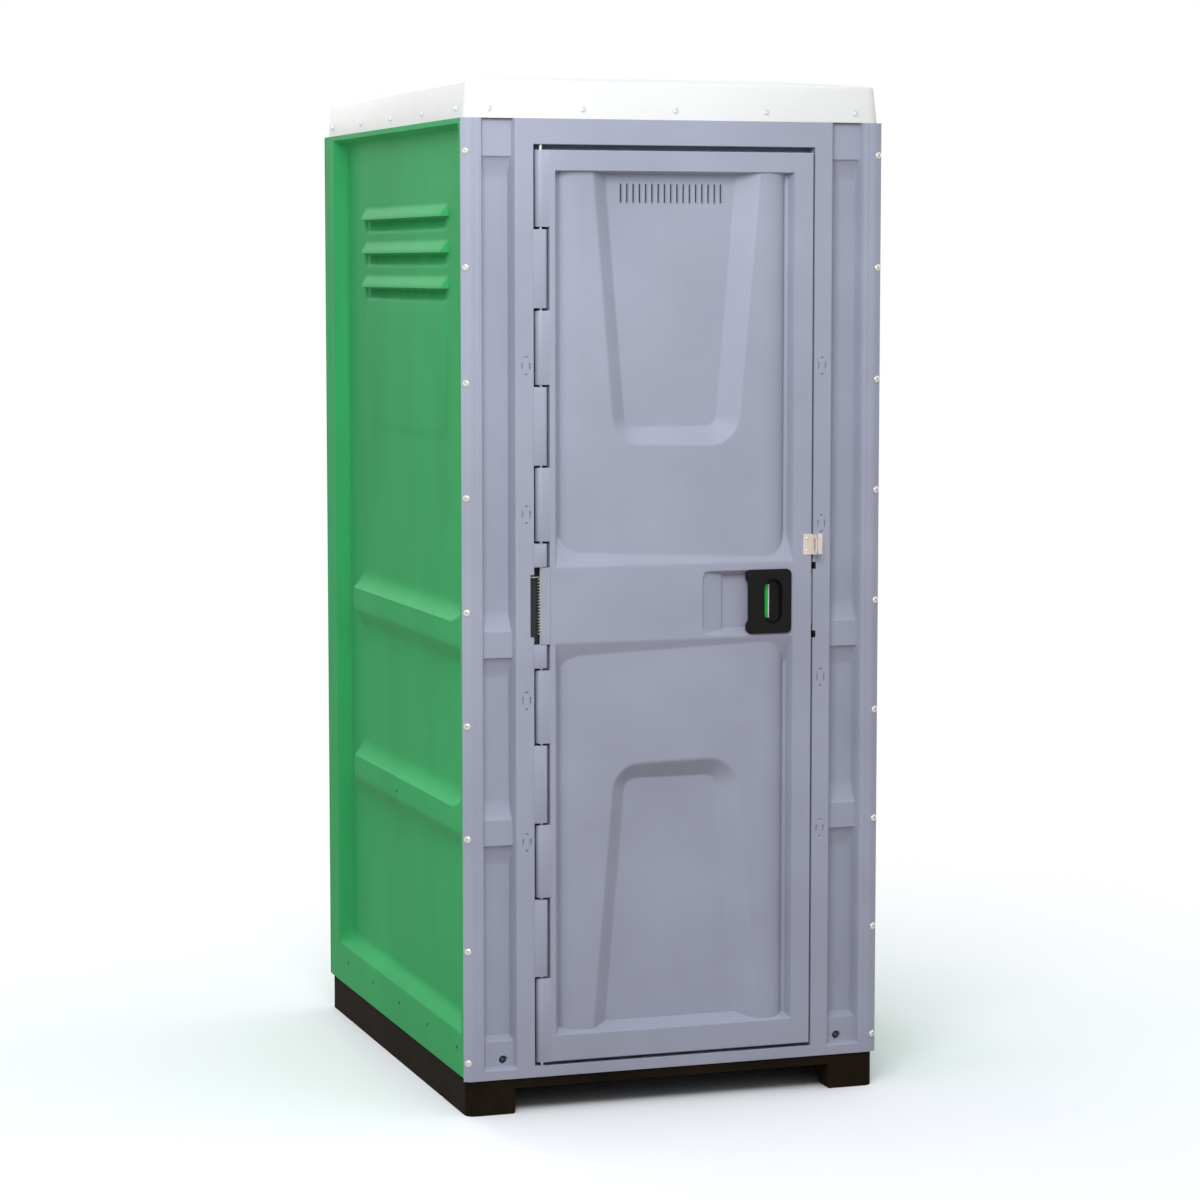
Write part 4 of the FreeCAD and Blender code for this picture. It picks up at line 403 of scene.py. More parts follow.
wall_rises = grid_lines((wall_low, 9), (180, 5), (225, 40), (590, 5), (640, 10), (684, 4),
                        (748, 40), (1005, 5), (1058, 10), (1102, 4), (1170, 40), (1480, 7),
                        (1530, 60), (1780, 8), (1813, 3.4), (1844, 1.8), (1846, 4), (1884, 6),
                        (1894, 3.4), (1925, 1.8), (1927, 4), (1965, 6), (1975, 3.4),
                        (2006, 1.8), (2008, 4), (2044, 25), (2180, 4), (wall_high, 1))
side_runs = grid_lines((0, 0.8), (3, 4.5), (12, 2.4), (40, 8), (130, 12), (190, 4.4), (944, 8),
                       (972, 2.5), (990, 10), (1096, 5), (1145, 15), (side_length, 1))
along, up = np.meshgrid(side_runs, wall_rises, indexing="ij")
side_depth = panel_depth(along, up, side_length, (16, 9), (95, 24), (194, 939), 988.0, 26)
keep = np.ones((len(side_runs) - 1, len(wall_rises) - 1), bool)
for name, side in (("side_wall_left", -1), ("side_wall_right", 1)):
    outer = np.stack([side * (wall_plane - side_depth), along + side_start, up], -1)
    inner = outer - (side * wall_sheet, 0, 0)
    make_piece(name + "_sheet", np.concatenate([outer, inner]), sheet_faces(keep), [],
               green_wall, "green_plastic", "cabin", name)

rear_runs = grid_lines((-wall_plane, 3), (-470, 10), (-415, 3.5), (-344, 4.4), (344, 3.5),
                       (415, 10), (470, 3), (wall_plane, 1))
across, up = np.meshgrid(rear_runs, wall_rises, indexing="ij")
rear_depth = panel_depth(across + rear_half, up, 2 * rear_half, (70, 24), (70, 24), (134, 822),
                         846.0, 0)
facet = np.clip((np.abs(across) - rear_half) / facet_width, 0, 1) * facet_depth
rear_depth = np.where(np.abs(across) > 470, soft_max(facet, 0.0, 1.5), rear_depth)
outer = np.stack([across, rear_plane - rear_depth, up], -1)
inner = np.stack([across * (1 - 4 / wall_plane * (np.abs(across) > 480)),
                  rear_plane - rear_depth - wall_sheet, up], -1)
keep = np.ones((len(rear_runs) - 1, len(wall_rises) - 1), bool)
make_piece("rear_wall_sheet", np.concatenate([outer, inner]), sheet_faces(keep), [], green_wall,
           "green_plastic", "cabin", "rear_wall")


# Buttons on the lower ledges: green moulded plugs that close a fixing hole in the face.
# Each is pressed in, and stands out as a low dome.
def ring_faces(points, closed=False):
    """Quads between rings of points, and a cap on each end ring; a closed one has no ends.

    The last axes of points are the rings, the points round a ring and the coordinates."""
    index = np.arange(points[..., 0].size).reshape(points.shape[:-1])
    after = np.roll(index, -1, -1)
    if closed:
        return np.stack([index, after, np.roll(after, -1, -2), np.roll(index, -1, -2)], -1), []
    quads = np.stack([index[..., :-1, :], after[..., :-1, :], after[..., 1:, :],
                      index[..., 1:, :]], -1)
    size = points.shape[-2]
    return quads, [*index[..., 0, ::-1].reshape(-1, size), *index[..., -1, :].reshape(-1, size)]


def turned_heads(name, places, profile, material, slot, body, *nodes, count=20):
    """One mesh of turned heads: a profile of radius and height rings round each place's normal.

    Each place is a point and a direction."""
    base = np.array([place[0] for place in places], float)
    normal = np.array([place[1] for place in places], float)
    normal /= np.linalg.norm(normal, axis=1)[:, None]
    aside = np.cross(normal, (0.0, 0.0, 1.0))
    aside /= np.linalg.norm(aside, axis=1)[:, None]
    upward = np.cross(aside, normal)
    turn = np.linspace(0, 2 * math.pi, count, endpoint=False)
    radius, height = np.array(profile, float).T
    ring = (np.cos(turn)[:, None] * aside[:, None, None] + np.sin(turn)[:, None]
            * upward[:, None, None])
    points = (base[:, None, None] + radius[:, None, None] * ring
              + height[:, None, None] * normal[:, None, None])
    make_piece(name, points, *ring_faces(points), material, slot, body, *nodes)


button = [(8.5, -2.0), (8.5, 0.6), (8.0, 2.2), (6.5, 3.4), (4.0, 4.2), (1.5, 4.6)]
places = [((side * (wall_plane - ledge_face_depth), 588.0, 660.0), (side, 0, 0))
          for side in (-1, 1)]
turned_heads("ledge_buttons", places, button, green_wall, "green_plastic", "cabin")


# Door frame: one grey moulding with a drafted channel down each column, blocks across the
# channels, a header and a sill. Its outer corners are cut off at a slant for the rivets.
frame_low, frame_high = 80.0, 2218.0
frame_back = 52.0
doorway_half, doorway_low, doorway_high = 332.5, 105.0, 2162.0
latch_level = 1139.0
channel_near, channel_far, channel_deep = 375.0, 451.0, 36.0
bolt_out, bolt_level = 403.0, 122.0
bay_left, bay_low, bay_high = -341.5, 1074.0, 1214.0
buffer_right, buffer_offset, buffer_half = 339.5, 78.5, 8.0
block_spans = ((2136, 2300), (1030, 1087), (608, 665))
mark_places = ((-350.0, 1676.0), (-350.0, 1348.0), (-350.0, 933.0), (-350.0, 615.0),
               (353.0, 1671.0), (353.0, 1313.0), (353.0, 961.0), (353.0, 612.0))

# Grey polyethylene, moulded: a cool lilac grey with an even grain and a soft satin gloss.
grey_door = moulded_polyethylene("grey_polyethylene", "a6a7b6", "9d9dac", 0.52, 2.4, 0.2,
                                 dust=0.1)


def oval_marks(x, up):
    """Plug outlines 18 by 39 mm: a fine groove round an oval, deeper at its four quarters."""
    depth = np.zeros(x.shape)
    for mark_x, mark_up in mark_places:
        side, end = np.abs(x - mark_x), np.abs(up - mark_up)
        gap = np.abs(np.hypot(side, np.maximum(end - 10.5, 0)) - 8.6)
        quarter = ((end < 7) | ((side < 2.5) & (end > 14))).astype(float)
        depth = np.maximum(depth, (0.7 + 3.3 * quarter) * np.clip(1.5 - gap / 1.2, 0, 1))
    return depth


def frame_face(x, up):
    """Depth of the frame's front: the greater of the corner's slant, the bead and the channel.

    The channel is the least of its drafted walls, its floor, the ramped blocks and the foot."""
    out = np.abs(x)
    slant = (out - 479) * 11 / 18
    bead = 1.4 * np.clip(1 - np.abs(out - 465.5) / 2.2, 0, 1) + 1.0 * (out < 458) * (out > 440)
    wall = soft_min((out - channel_near) * channel_deep / 8,
                    (channel_far - out) * channel_deep / 8, 12)
    channel = soft_min(wall, channel_deep, 5)
    channel = soft_min(channel, (up - 103) * 4.0, 6)
    for low, high in block_spans:
        above = 18 + 18.5 * np.clip((up - high) / 46, 0, 1) ** 0.55
        below = 18 + 18.5 * np.clip((low - up) / 46, 0, 1) ** 0.55
        channel = soft_min(channel, np.maximum(above, below), 1.0)
    foot = np.where(up < 165, 16.0, 16 + (up - 165) * 21 / 11)
    hole = 9 * np.clip(9.5 - np.hypot(out - bolt_out, up - bolt_level), 0, 1)
    channel = soft_min(channel, foot, 2) + hole
    depth = soft_max(soft_max(slant, bead, 2), 0.0, 6)
    return soft_max(depth, channel, 9) + oval_marks(x, up)


def frame_front(x, up):
    """The frame's front with its doorway and outer rims rounded off."""
    doorway = np.maximum(np.abs(x) - doorway_half,
                         np.maximum(doorway_low - up, up - doorway_high))
    rim = edge_round(np.maximum(doorway, 0), 2.5)
    ends = edge_round(np.minimum(up - frame_low, frame_high - up), 2.0)
    return np.maximum(np.maximum(frame_face(x, up), rim), ends)


right_runs = grid_lines((doorway_half, 0.6), (335.1, 2.5), (339.5, 1.5), (363, 3), (368, 1.6),
                        (388, 3), (394, 1.6), (413, 6), (438, 2), (486, 3.6), (wall_plane, 1))
frame_runs = np.unique(np.concatenate([-right_runs, [bay_left],
                                       np.linspace(-doorway_half, doorway_half, 8), right_runs]))
frame_rises = np.unique(np.concatenate([
    grid_lines((frame_low, 0.8), (83, 6), (100, 1), (108, 2), (112, 1.5), (132, 8), (160, 2),
               (178, 60), (560, 4), (592, 2.1), (636, 3), (660, 1), (668, 4), (712, 60),
               (910, 2.1), (984, 4), (1028, 1), (1034, 15), (1084, 1), (1090, 4), (1134, 60),
               (1290, 2.1), (1371, 60), (1648, 2.1), (1700, 60), (2088, 4), (2134, 1),
               (2138, 8), (2158, 1), (2165, 15), (2214, 0.8), (frame_high, 1)),
    [doorway_low, bay_low, bay_high, doorway_high],
    [latch_level + a * buffer_offset + b * buffer_half for a in (-1, 1) for b in (-1, 1)]]))
frame_rises = frame_rises[np.append(np.diff(frame_rises) > 0.25, True)]
x, up = np.meshgrid(frame_runs, frame_rises, indexing="ij")
mid_x = ((frame_runs[:-1] + frame_runs[1:]) / 2)[:, None]
mid_up = ((frame_rises[:-1] + frame_rises[1:]) / 2)[None, :]
keep = (np.abs(mid_x) > doorway_half) | (mid_up < doorway_low) | (mid_up > doorway_high)
spring_bay = (mid_x < 0) & (mid_x > bay_left) & (mid_up > bay_low) & (mid_up < bay_high)
buffer_notches = ((mid_x > 0) & (mid_x < buffer_right)
                  & (np.abs(np.abs(mid_up - latch_level) - buffer_offset) < buffer_half))
keep &= ~spring_bay & ~buffer_notches
outer = np.stack([x, frame_front(x, up), up], -1)
inner = np.stack([np.clip(x, -430, 430), np.full(x.shape, frame_back), up], -1)
make_piece("door_frame_face", np.concatenate([outer, inner]), sheet_faces(keep), [], grey_door,
           "grey_plastic", "cabin", "front_frame")


# Door stop: the frame's inner flange that the door closes against, part of the same moulding.
# It laps the doorway by 14 mm all round.
def ring_outline(x0, x1, z0, z1, radius, steps=8):
    """A rectangle with round corners, each an arc of the same number of points."""
    turn = np.linspace(0, math.pi / 2, steps)
    turns = np.concatenate([turn + k * math.pi / 2 for k in range(4)])
    centre = np.repeat([[x1 - radius, z1 - radius], [x0 + radius, z1 - radius],
                        [x0 + radius, z0 + radius], [x1 - radius, z0 + radius]], steps, axis=0)
    return centre + radius * np.stack([np.cos(turns), np.sin(turns)], -1)


def ring_piece(name, rings, closed, material, slot, body, *nodes, sideways=False):
    """A solid from rings, each an outline in x and z at a depth y, or in y and z at an x.

    A closed one joins its last ring to its first; otherwise both end rings are capped."""
    points = np.stack([np.stack([outline[:, 0], np.full(len(outline), depth), outline[:, 1]], -1)
                       for outline, depth in rings])
    if sideways:
        points = points[..., [1, 0, 2]]
    make_piece(name, points, *ring_faces(points, closed), material, slot, body, *nodes)


stop_outer = ring_outline(-350.0, 350.0, 86.0, 2178.0, 4.0)
stop_inner = ring_outline(-318.5, 318.5, 119.0, 2148.0, 3.0)
stop_soft = ring_outline(-319.5, 319.5, 118.0, 2149.0, 3.6)
ring_piece("door_stop", [(stop_outer, frame_back), (stop_soft, frame_back), (stop_inner, 53.0),
                         (stop_inner, 59.0), (stop_soft, 60.0), (stop_outer, 60.0)], True,
           grey_door, "grey_plastic", "cabin")


# Spring bay and buffers: a wall clipped into the frame closes the bay behind the closer spring,
# and two black moulded buffers sit in notches of the doorway's latch side. The wall's dark colour
# is painted shade, in place of the grey frame plastic in the bay's shadow.
# Dark polyethylene, moulded: plain and dull. It is the tank's own colour, and it is also used as
# painted shade behind the open parts: the spring bay's wall and the dark ovals in the air slots.
tank_black_and_painted_shade = moulded_polyethylene("dark_tank_polyethylene_and_painted_shade", "33343a", "2d2e33", 0.5, 2.5, 0.3)
# Black nylon, moulded from a polished tool: deep black with a low, even gloss.
latch_black = moulded_polyethylene("black_latch_nylon", "0f0e0f", "0a090a", 0.45, 1.2, 0.05,
                                   shine=0.15)
# The bay's wall is painted shade: dark plastic where the grey frame lies in shadow.
bay = ring_outline(-342.0, -312.0, 1060.0, 1228.0, 1.0, 4)
ring_piece("spring_bay_painted_shade", [(bay, 29.5), (bay, 27.0)], False, tank_black_and_painted_shade, "tank_plastic",
           "cabin")
for name, way in (("upper_buffer", 1), ("lower_buffer", -1)):
    middle = latch_level + way * buffer_offset
    pad = ring_outline(332.7, 339.3, middle - 7.8, middle + 7.8, 2.0, 5)
    soft = ring_outline(333.5, 338.5, middle - 7.0, middle + 7.0, 1.6, 5)
    ring_piece(name, [(pad, 24.0), (pad, 3.0), (soft, 1.4)], False, latch_black,
               "latch_plastic", "cabin")


# Roof: one white moulding with a drafted skirt that is screwed to strips on the walls, and a
# low crown that sheds rain. Its rim and its upright corners are rounded.
# White polyethylene, moulded: a warm white with hardly any gloss.
white_roof = moulded_polyethylene("white_polyethylene", "e9e7e1", "e3e0d9", 0.45, 3.0, 0.2,
                                  shine=0.15)
roof_half_width, roof_half_depth, roof_middle = 491.0, 619.0, 625.0
roof_section = [(215, 2318, 28), (177, 2316.5, 24), (90, 2309.5, 22), (15, 2300.4, 20),
                (11, 2299.6, 20), (8.2, 2297.6, 21), (6.6, 2294, 22), (0, 2218.8, 24),
                (0.6, 2218, 23.4), (5, 2218, 19), (12, 2292, 16), (20, 2295, 16),
                (177, 2311.5, 24), (214, 2312.5, 28)]


def plan_ring(inset, level, radius):
    """The roof's plan at one level, inset from its rim: a rectangle with round corners."""
    plan = ring_outline(inset - roof_half_width, roof_half_width - inset,
                        inset - roof_half_depth, roof_half_depth - inset, radius, 9)
    return np.column_stack([plan + (0, roof_middle), np.full(len(plan), level)])


rings = np.stack([plan_ring(*ring) for ring in roof_section])
make_piece("roof_moulding", rings, *ring_faces(rings), white_roof, "white_plastic", "cabin",
           "roof")


# Blind rivets and screws: pressed aluminium rivets with a broad round head and the stem's hole
# in the middle hold the frame to the walls, and small steel screws with washers hold the roof.
# Painted screws hold the walls to the base, and dark bolts the foot of each column.
def worked_metal(name, colour, roughness, scratch_mm, metallic):
    """Metal with scratches of a given spacing, drawn out upright, that vary the gloss."""
    material, tree = clean_material(name)
    place = add(tree, "ShaderNodeTexCoord")
    stretch = add(tree, "ShaderNodeMapping", {"Scale": (1.0, 1.0, 0.15)},
                  {"Vector": place.outputs["Object"]})
    scratches = add(tree, "ShaderNodeTexNoise", {"Scale": 1000 / scratch_mm, "Detail": 3.0},
                    {"Vector": stretch.outputs["Vector"]})
    gloss = add(tree, "ShaderNodeMapRange", {"To Min": roughness - 0.1,
                                             "To Max": roughness + 0.12},
                {"Value": scratches.outputs["Fac"]})
    bump = add(tree, "ShaderNodeBump", {"Strength": 0.25, "Distance": 0.0001},
               {"Height": scratches.outputs["Fac"]})
    skin = add(tree, "ShaderNodeBsdfPrincipled", {"Base Color": linear(colour),
                                                  "Metallic": metallic},
               {"Roughness": gloss.outputs["Result"], "Normal": bump.outputs["Normal"]})
    add(tree, "ShaderNodeOutputMaterial", {}, {"Surface": skin.outputs[0]})
    return material


# Pressed aluminium is bright and a little warm. Zinc plate is paler and duller from its coating.
# The screw paint is the walls' green; its deeper tone is painted shade for the dimples that the
# screws sit in. The bolts' coating is a bluish black.
aluminium = worked_metal("pressed_aluminium", "d2cdc8", 0.3, 1.5, 0.85)
zinc = worked_metal("zinc_plated_steel", "d5d6da", 0.36, 1.2, 0.7)
screw_green_and_painted_shade = worked_metal("green_screw_paint_and_painted_shade", "1d5634", 0.45, 1.5, 0.0)
dark_paint = worked_metal("dark_coated_bolt", "3a3b47", 0.4, 1.5, 0.6)

rivet_head = [(2.4, -6.0), (8.5, -0.4), (8.5, 0.5), (8.1, 1.4), (7.1, 2.5), (5.6, 3.4),
              (4.1, 3.9), (3.4, 3.9), (3.0, 3.4), (2.8, 0.4)]
facet_way = np.array([facet_depth, facet_width]) / math.hypot(facet_depth, facet_width)
rivet_levels = 122.0 + 253.0 * np.arange(9)
rivet_out, rivet_in = wall_plane - facet_width / 2, facet_depth / 2
for name, way, depth, node in (
        ("front_rivet_heads", -1, rivet_in, "front_corner_rivets"),
        ("rear_rivet_heads", 1, rear_plane - rivet_in, "rear_corner_rivets")):
    places = [((side * rivet_out, depth, level), (side * facet_way[0], way * facet_way[1], 0))
              for side in (-1, 1) for level in rivet_levels]
    turned_heads(name, places, rivet_head, aluminium, "aluminium_rivet", "cabin", node)

screw_head = [(2.0, -6.0), (7.4, -0.2), (7.4, 0.5), (7.0, 1.1), (4.6, 1.3), (4.5, 2.4),
              (4.0, 3.4), (3.0, 3.9), (2.2, 4.0), (2.0, 1.8)]
screw_level, screw_set_in = 2239.0, 1.7
# They stand square to the roof's skirt, which leans in by 6.6 mm over 75.2 mm.
roof_lean = math.sin(math.atan(6.6 / 75.2))
places = [((216.0 * k, roof_middle + way * (roof_half_depth - screw_set_in), screw_level),
           (0, way, roof_lean)) for way in (-1, 1) for k in (-2, -1, 0, 1, 2)]
places += [((side * (roof_half_width - screw_set_in), 71.0 + 277.0 * k, screw_level),
            (side, 0, roof_lean)) for side in (-1, 1) for k in range(5)]
turned_heads("roof_screw_heads", places, screw_head, zinc, "zinc_steel", "cabin", "roof_screws")

plinth_head = [(1.8, -6.0), (4.9, -0.2), (4.9, 0.3), (4.4, 1.2), (3.0, 1.7), (2.4, 1.7),
               (2.1, -1.4)]
plinth_level = 148.0
places = [((side * wall_plane, 65.0 + 247.0 * k, plinth_level), (side, 0, 0))
          for side in (-1, 1) for k in range(5)]
places += [((178.0 * k, rear_plane, plinth_level), (0, 1, 0)) for k in (-2, -1, 0, 1, 2)]
# The heads' deep green is painted shade for the dimples that they sit in.
turned_heads("plinth_screw_heads", places, plinth_head, screw_green_and_painted_shade, "green_screw", "cabin",
             "plinth_screws")
finish(dark_paint, "column_bolts")


# Door: a deep-drawn grey front with two crowned recesses, a flat band at the latch and a tapered
# pocket in each recess. Creases are crisp, because the sheet is drawn tight over the mould. A
# plain inner shell of the same grey closes its back.
door_left, door_right, door_low, door_high = -296.0, 328.5, 113.0, 2150.0
door_thickness = 45.0
lower_recess, upper_recess = (173, 1059), (1229, 2105)
lower_pocket_end, upper_pocket_end = 743, 1537
strip_half, strip_low, strip_high = 131.2, 2027.8, 2086.2


def recess_section(x):
    """Depth across a door recess: a steep wall, a narrow bevel and a crowned field.

    The field rises by a quarter ellipse over 52 mm, then runs straight to the other side."""
    out = np.abs(x)
    edge = np.where(x < 0, 13.0, 5.0)
    wall = (283 - out) * 24 / 7
    bevel = 24 + (276 - out) * 5 / 9
    t = np.clip((out - 215) / 52, 0, 1)
    field = edge + (29 - edge) * (1 - np.sqrt(1 - t ** 2))
    field = np.where(out < 215, 9 - 4 * x / 215, field)
    field = np.where(out > 267, bevel, field)
    return soft_min(wall, field, 1.5)


def door_recess(x, up, low, high, low_slope, high_slope):
    """A recess limited by a sloping plane at each end, which cuts the crown in a curve."""
    ends = np.minimum((up - low) / low_slope, (high - up) / high_slope)
    return soft_min(recess_section(x), ends, 1.2)


def pocket_depth(x, up, closed, toward):
    """Tapered pocket 38 mm deep: its bevel is 52 mm wide, measured from the floor's outline.

    The outline is a trapezium with corners of 22 mm, given by its distance field."""
    above = (up - closed) * toward
    gap = round_gap((np.abs(x) - 108 - above * 0.085) / math.hypot(1, 0.085), -above, 22)
    return soft_min(38 * (1 - gap / 52), 38.0, 1.2)


def grip_depth(x, up):
    """Hand pocket: a ramp from the hinge side, a crisp step, and slopes above and below.

    It runs on behind the latch plate, which bridges it."""
    inside = -round_gap(65 - x, np.abs(up - latch_level) - 72, 18)
    ramp = np.where(x < 115, 3.5 + (x - 65) * 11.5 / 50, 15 + (x - 115) * 2.4)
    floor = soft_min(soft_min(ramp, inside * 22 / 12, 1), 22.0, 1.2)
    return np.where(x < 262, floor, -5.0)


def door_front(x, up):
    """Depth of the door's front: the deepest of the recesses, pockets and grip."""
    upper = door_recess(x, up, *upper_recess, 2.3, 0.12)
    lower = door_recess(x, up, *lower_recess, 0.44, 2.3)
    top = soft_min(pocket_depth(x, up, upper_pocket_end, 1), (upper_recess[1] - up) / 0.12, 1.5)
    foot = soft_min(pocket_depth(x, up, lower_pocket_end, -1), (up - lower_recess[0]) / 0.44,
                    1.5)
    depth = np.maximum(soft_max(upper, top, 1.5), soft_max(lower, foot, 1.5))
    depth = soft_max(soft_max(depth, grip_depth(x, up), 1.5), 0.0, 1.5)
    rim = edge_round(np.minimum(np.minimum(x - door_left, door_right - x),
                                np.minimum(up - door_low, door_high - up)), 2.5)
    return np.maximum(depth, rim)


def relief_block(name, x, up, depth, back_depth, body, *nodes):
    """A grey block with a relief for its front, straight sides and a flat back."""
    front = np.stack([x, depth, up], -1).reshape(-1, 3)
    index = np.arange(len(front)).reshape(x.shape)
    rim = np.concatenate([index[:-1, 0], index[-1, :-1], index[:0:-1, -1], index[0, :0:-1]])
    back = len(front) + np.arange(len(rim))
    sides = np.stack([rim, back, np.roll(back, -1), np.roll(rim, -1)], -1)
    points = np.concatenate([front, front[rim] * (1, 0, 1) + (0, back_depth, 0)])
    make_piece(name, points, np.concatenate([grid_quads(index).reshape(-1, 4), sides]),
               [back[::-1]], grey_door, "grey_plastic", body, *nodes)


door_runs = grid_lines((door_left, 0.6), (-293, 3), (-287, 1.2), (-264, 3), (-216, 2.8),
                       (-strip_half, 1), (-131, 2.8), (-100, 12), (62, 0.8), (68, 8),
                       (100, 2.8), (113, 1), (120, 2.8), (131, 1), (strip_half, 2.8),
                       (206.5, 2.8), (262, 1.2), (287, 6), (325.5, 0.6), (door_right, 1))
door_rises = grid_lines((door_low, 0.6), (116, 9), (170, 1.6), (195, 20), (680, 5), (690, 2.2),
                        (745, 4), (800, 20), (985, 1.7), (1061, 3), (1074, 2), (1084, 13),
                        (1194, 2), (1204, 2), (1212, 5), (1226, 1.7), (1306, 20), (1480, 2.2),
                        (1540, 4), (1560, 20), (strip_low, 1), (2028, 29), (2086, 1),
                        (strip_high, 1.2), (2108, 9), (2147, 0.6), (door_high, 1))
x, up = np.meshgrid(door_runs, door_rises, indexing="ij")
strip_pit = (np.abs(x) < 131.1) & (np.abs(up - 2057) < 29.1)
relief_block("door_front", x, up, np.where(strip_pit, 44.0, door_front(x, up)), door_thickness,
             "door", "door_outer_shell")
finish(grey_door, "door_inner_shell")


# Air slots: seventeen upright slots with a low rim round each, moulded in the floor of the upper
# pocket. Their strip is a mesh of its own, let into the door. A thin dark oval in each slot is
# painted shade for the dark inside of the door.
slot_pitch, slot_middle = 14.8, 2057.0
slot_numbers = np.arange(-8, 9)


def slot_depth(x, up):
    """Depth over the strip: the nearest slot's oval is 1.6 mm wide each side, its rim 1.5 high."""
    nearest = np.clip(np.round(x / slot_pitch), -8, 8) * slot_pitch
    gap = np.hypot(x - nearest, np.maximum(np.abs(up - slot_middle) - 19.1, 0))
    return np.where(gap < 1.65, 5.5, -1.5 * np.clip(1 - np.abs(gap - 3.1) / 1.4, 0, 1))


slot_lines = (slot_numbers[:, None] * slot_pitch
              + np.array([-4.5, -3.1, -1.7, -1.6, 0.0, 1.6, 1.7, 3.1, 4.5])).ravel()
strip_runs = np.concatenate([[-strip_half], slot_lines, [strip_half]])
strip_rises = np.concatenate([[strip_low], grid_lines((2031, 0.9), (2042, 15), (2072, 0.9),
                                                      (2083, 1)), [strip_high]])
x, up = np.meshgrid(strip_runs, strip_rises, indexing="ij")
relief_block("door_air_slots", x, up, 38.0 + slot_depth(x, up), 44.6, "door")

# Thin dark ovals a little behind the slots: painted shade, standing for the dark inside of the
# door.
slot = ring_outline(-1.55, 1.55, 2036.6, 2077.4, 1.5, 4)
slot = slot + np.stack([slot_numbers * slot_pitch, np.zeros(17)], -1)[:, None]
points = np.stack([np.stack([slot[..., 0], np.full(slot.shape[:2], depth), slot[..., 1]], -1)
                   for depth in (40.6, 43.4)], 1)
make_piece("slot_painted_shade", points, *ring_faces(points), tank_black_and_painted_shade, "latch_plastic", "door")


# Hinge: a full-height zinc-plated pin runs through knuckles that alternate up the door's left
# edge. Those of the door are round noses that run into it, those of the frame are square blocks
# with a round end.
pin_x, pin_y = -313.0, 14.0
nose_radius, knuckle_depth = 14.0, 28.0
block_left, block_right, block_round = -334.0, -301.0, 7.0
spring_top = 1283.0
finish(zinc, "hinge_pin")


def upright_bars(name, outline, spans, body):
    """Grey bars of one outline at several heights, with their end rims rounded by 0.8 mm."""
    outward = outline - outline.mean(0)
    outward /= np.linalg.norm(outward, axis=1)[:, None]
    shrink = np.array([0.8, 0.28, 0.0, 0.0, 0.28, 0.8])
    rise = np.array([0.0, 0.24, 0.8, -0.8, -0.24, 0.0])
    for number, (low, high) in enumerate(spans):
        levels = np.repeat([low, high], 3) + rise
        plan = outline - outward * shrink[:, None, None]
        points = np.concatenate([plan, np.broadcast_to(levels[:, None, None],
                                                       plan.shape[:2] + (1,))], -1)
        make_piece(name + "_%d" % (number + 1), points, *ring_faces(points), grey_door,
                   "grey_plastic", body)


turn = np.linspace(math.pi * 1.5, math.pi * 0.5, 25)
nose = np.stack([pin_x + nose_radius * np.cos(turn), pin_y + nose_radius * np.sin(turn)], -1)
door_outline = np.concatenate([nose, [[-295.0, knuckle_depth], [-295.0, 0.0]]])[::-1]
upper_pitch = (door_high - spring_top) / 5
door_spans = [(door_low, 304), (488, 652), (836, 1000)]
door_spans += [(spring_top + k * upper_pitch + 5,
                spring_top + (k + 1) * upper_pitch - 5 * (k < 4)) for k in (0, 2, 4)]
upright_bars("door_knuckle", door_outline, door_spans, "door")

turn = np.linspace(0, math.pi / 2, 7)
corner = np.stack([block_right - block_round + block_round * np.cos(turn),
                   knuckle_depth - block_round + block_round * np.sin(turn)], -1)
frame_outline = np.concatenate([[[block_left, 0.0]],
                                corner[::-1] * (1, -1) + (0, knuckle_depth), corner,
                                [[block_left, knuckle_depth]]])
frame_spans = [(309, 483), (657, 831), (1005, 1057), (1231, spring_top)]
frame_spans += [(spring_top + k * upper_pitch, spring_top + (k + 1) * upper_pitch)
                for k in (1, 3)]
upright_bars("frame_knuckle", frame_outline, frame_spans, "cabin")


# Closer spring: hard-drawn wire 3.2 mm thick, wound nineteen times round the pin, with a straight
# leg at each end that bears on the frame and on the door's grey cover.
# Yellow passivated wire: a pale brassy film over bright drawn steel.
yellow_wire = worked_metal("yellow_passivated_spring_wire", "e6dcbe", 0.35, 0.8, 0.6)
wire_radius, coil_radius, coil_turns, coil_pitch, coil_start = 1.6, 6.6, 19, 6.72, 1079.5
turn = np.linspace(0, coil_turns * 2 * math.pi, coil_turns * 28 + 1) + math.pi / 2
coil = np.stack([pin_x + coil_radius * np.cos(turn), pin_y + coil_radius * np.sin(turn),
                 coil_start + (turn - math.pi / 2) * coil_pitch / (2 * math.pi)], -1)
coil = np.concatenate([[coil[0] + (13.6, 0, 0), coil[0] + (4, 0, 0)], coil,
                       [coil[-1] - (9, 0, 0), coil[-1] - (28.1, 0, 0)]])
forward = np.gradient(coil, axis=0)
forward /= np.linalg.norm(forward, axis=1)[:, None]
lift = np.array([0.0, 0.0, 1.0]) - forward * forward[:, 2:]
lift /= np.linalg.norm(lift, axis=1)[:, None]
aside = np.cross(forward, lift)
round_wire = np.linspace(0, 2 * math.pi, 10, endpoint=False)
wire = coil[:, None] + wire_radius * (np.cos(round_wire)[:, None] * lift[:, None]
                                      + np.sin(round_wire)[:, None] * aside[:, None])
make_piece("closer_spring", wire, *ring_faces(wire), yellow_wire, "spring_steel", "cabin",
           "door_spring")
finish(grey_door, "spring_cover")


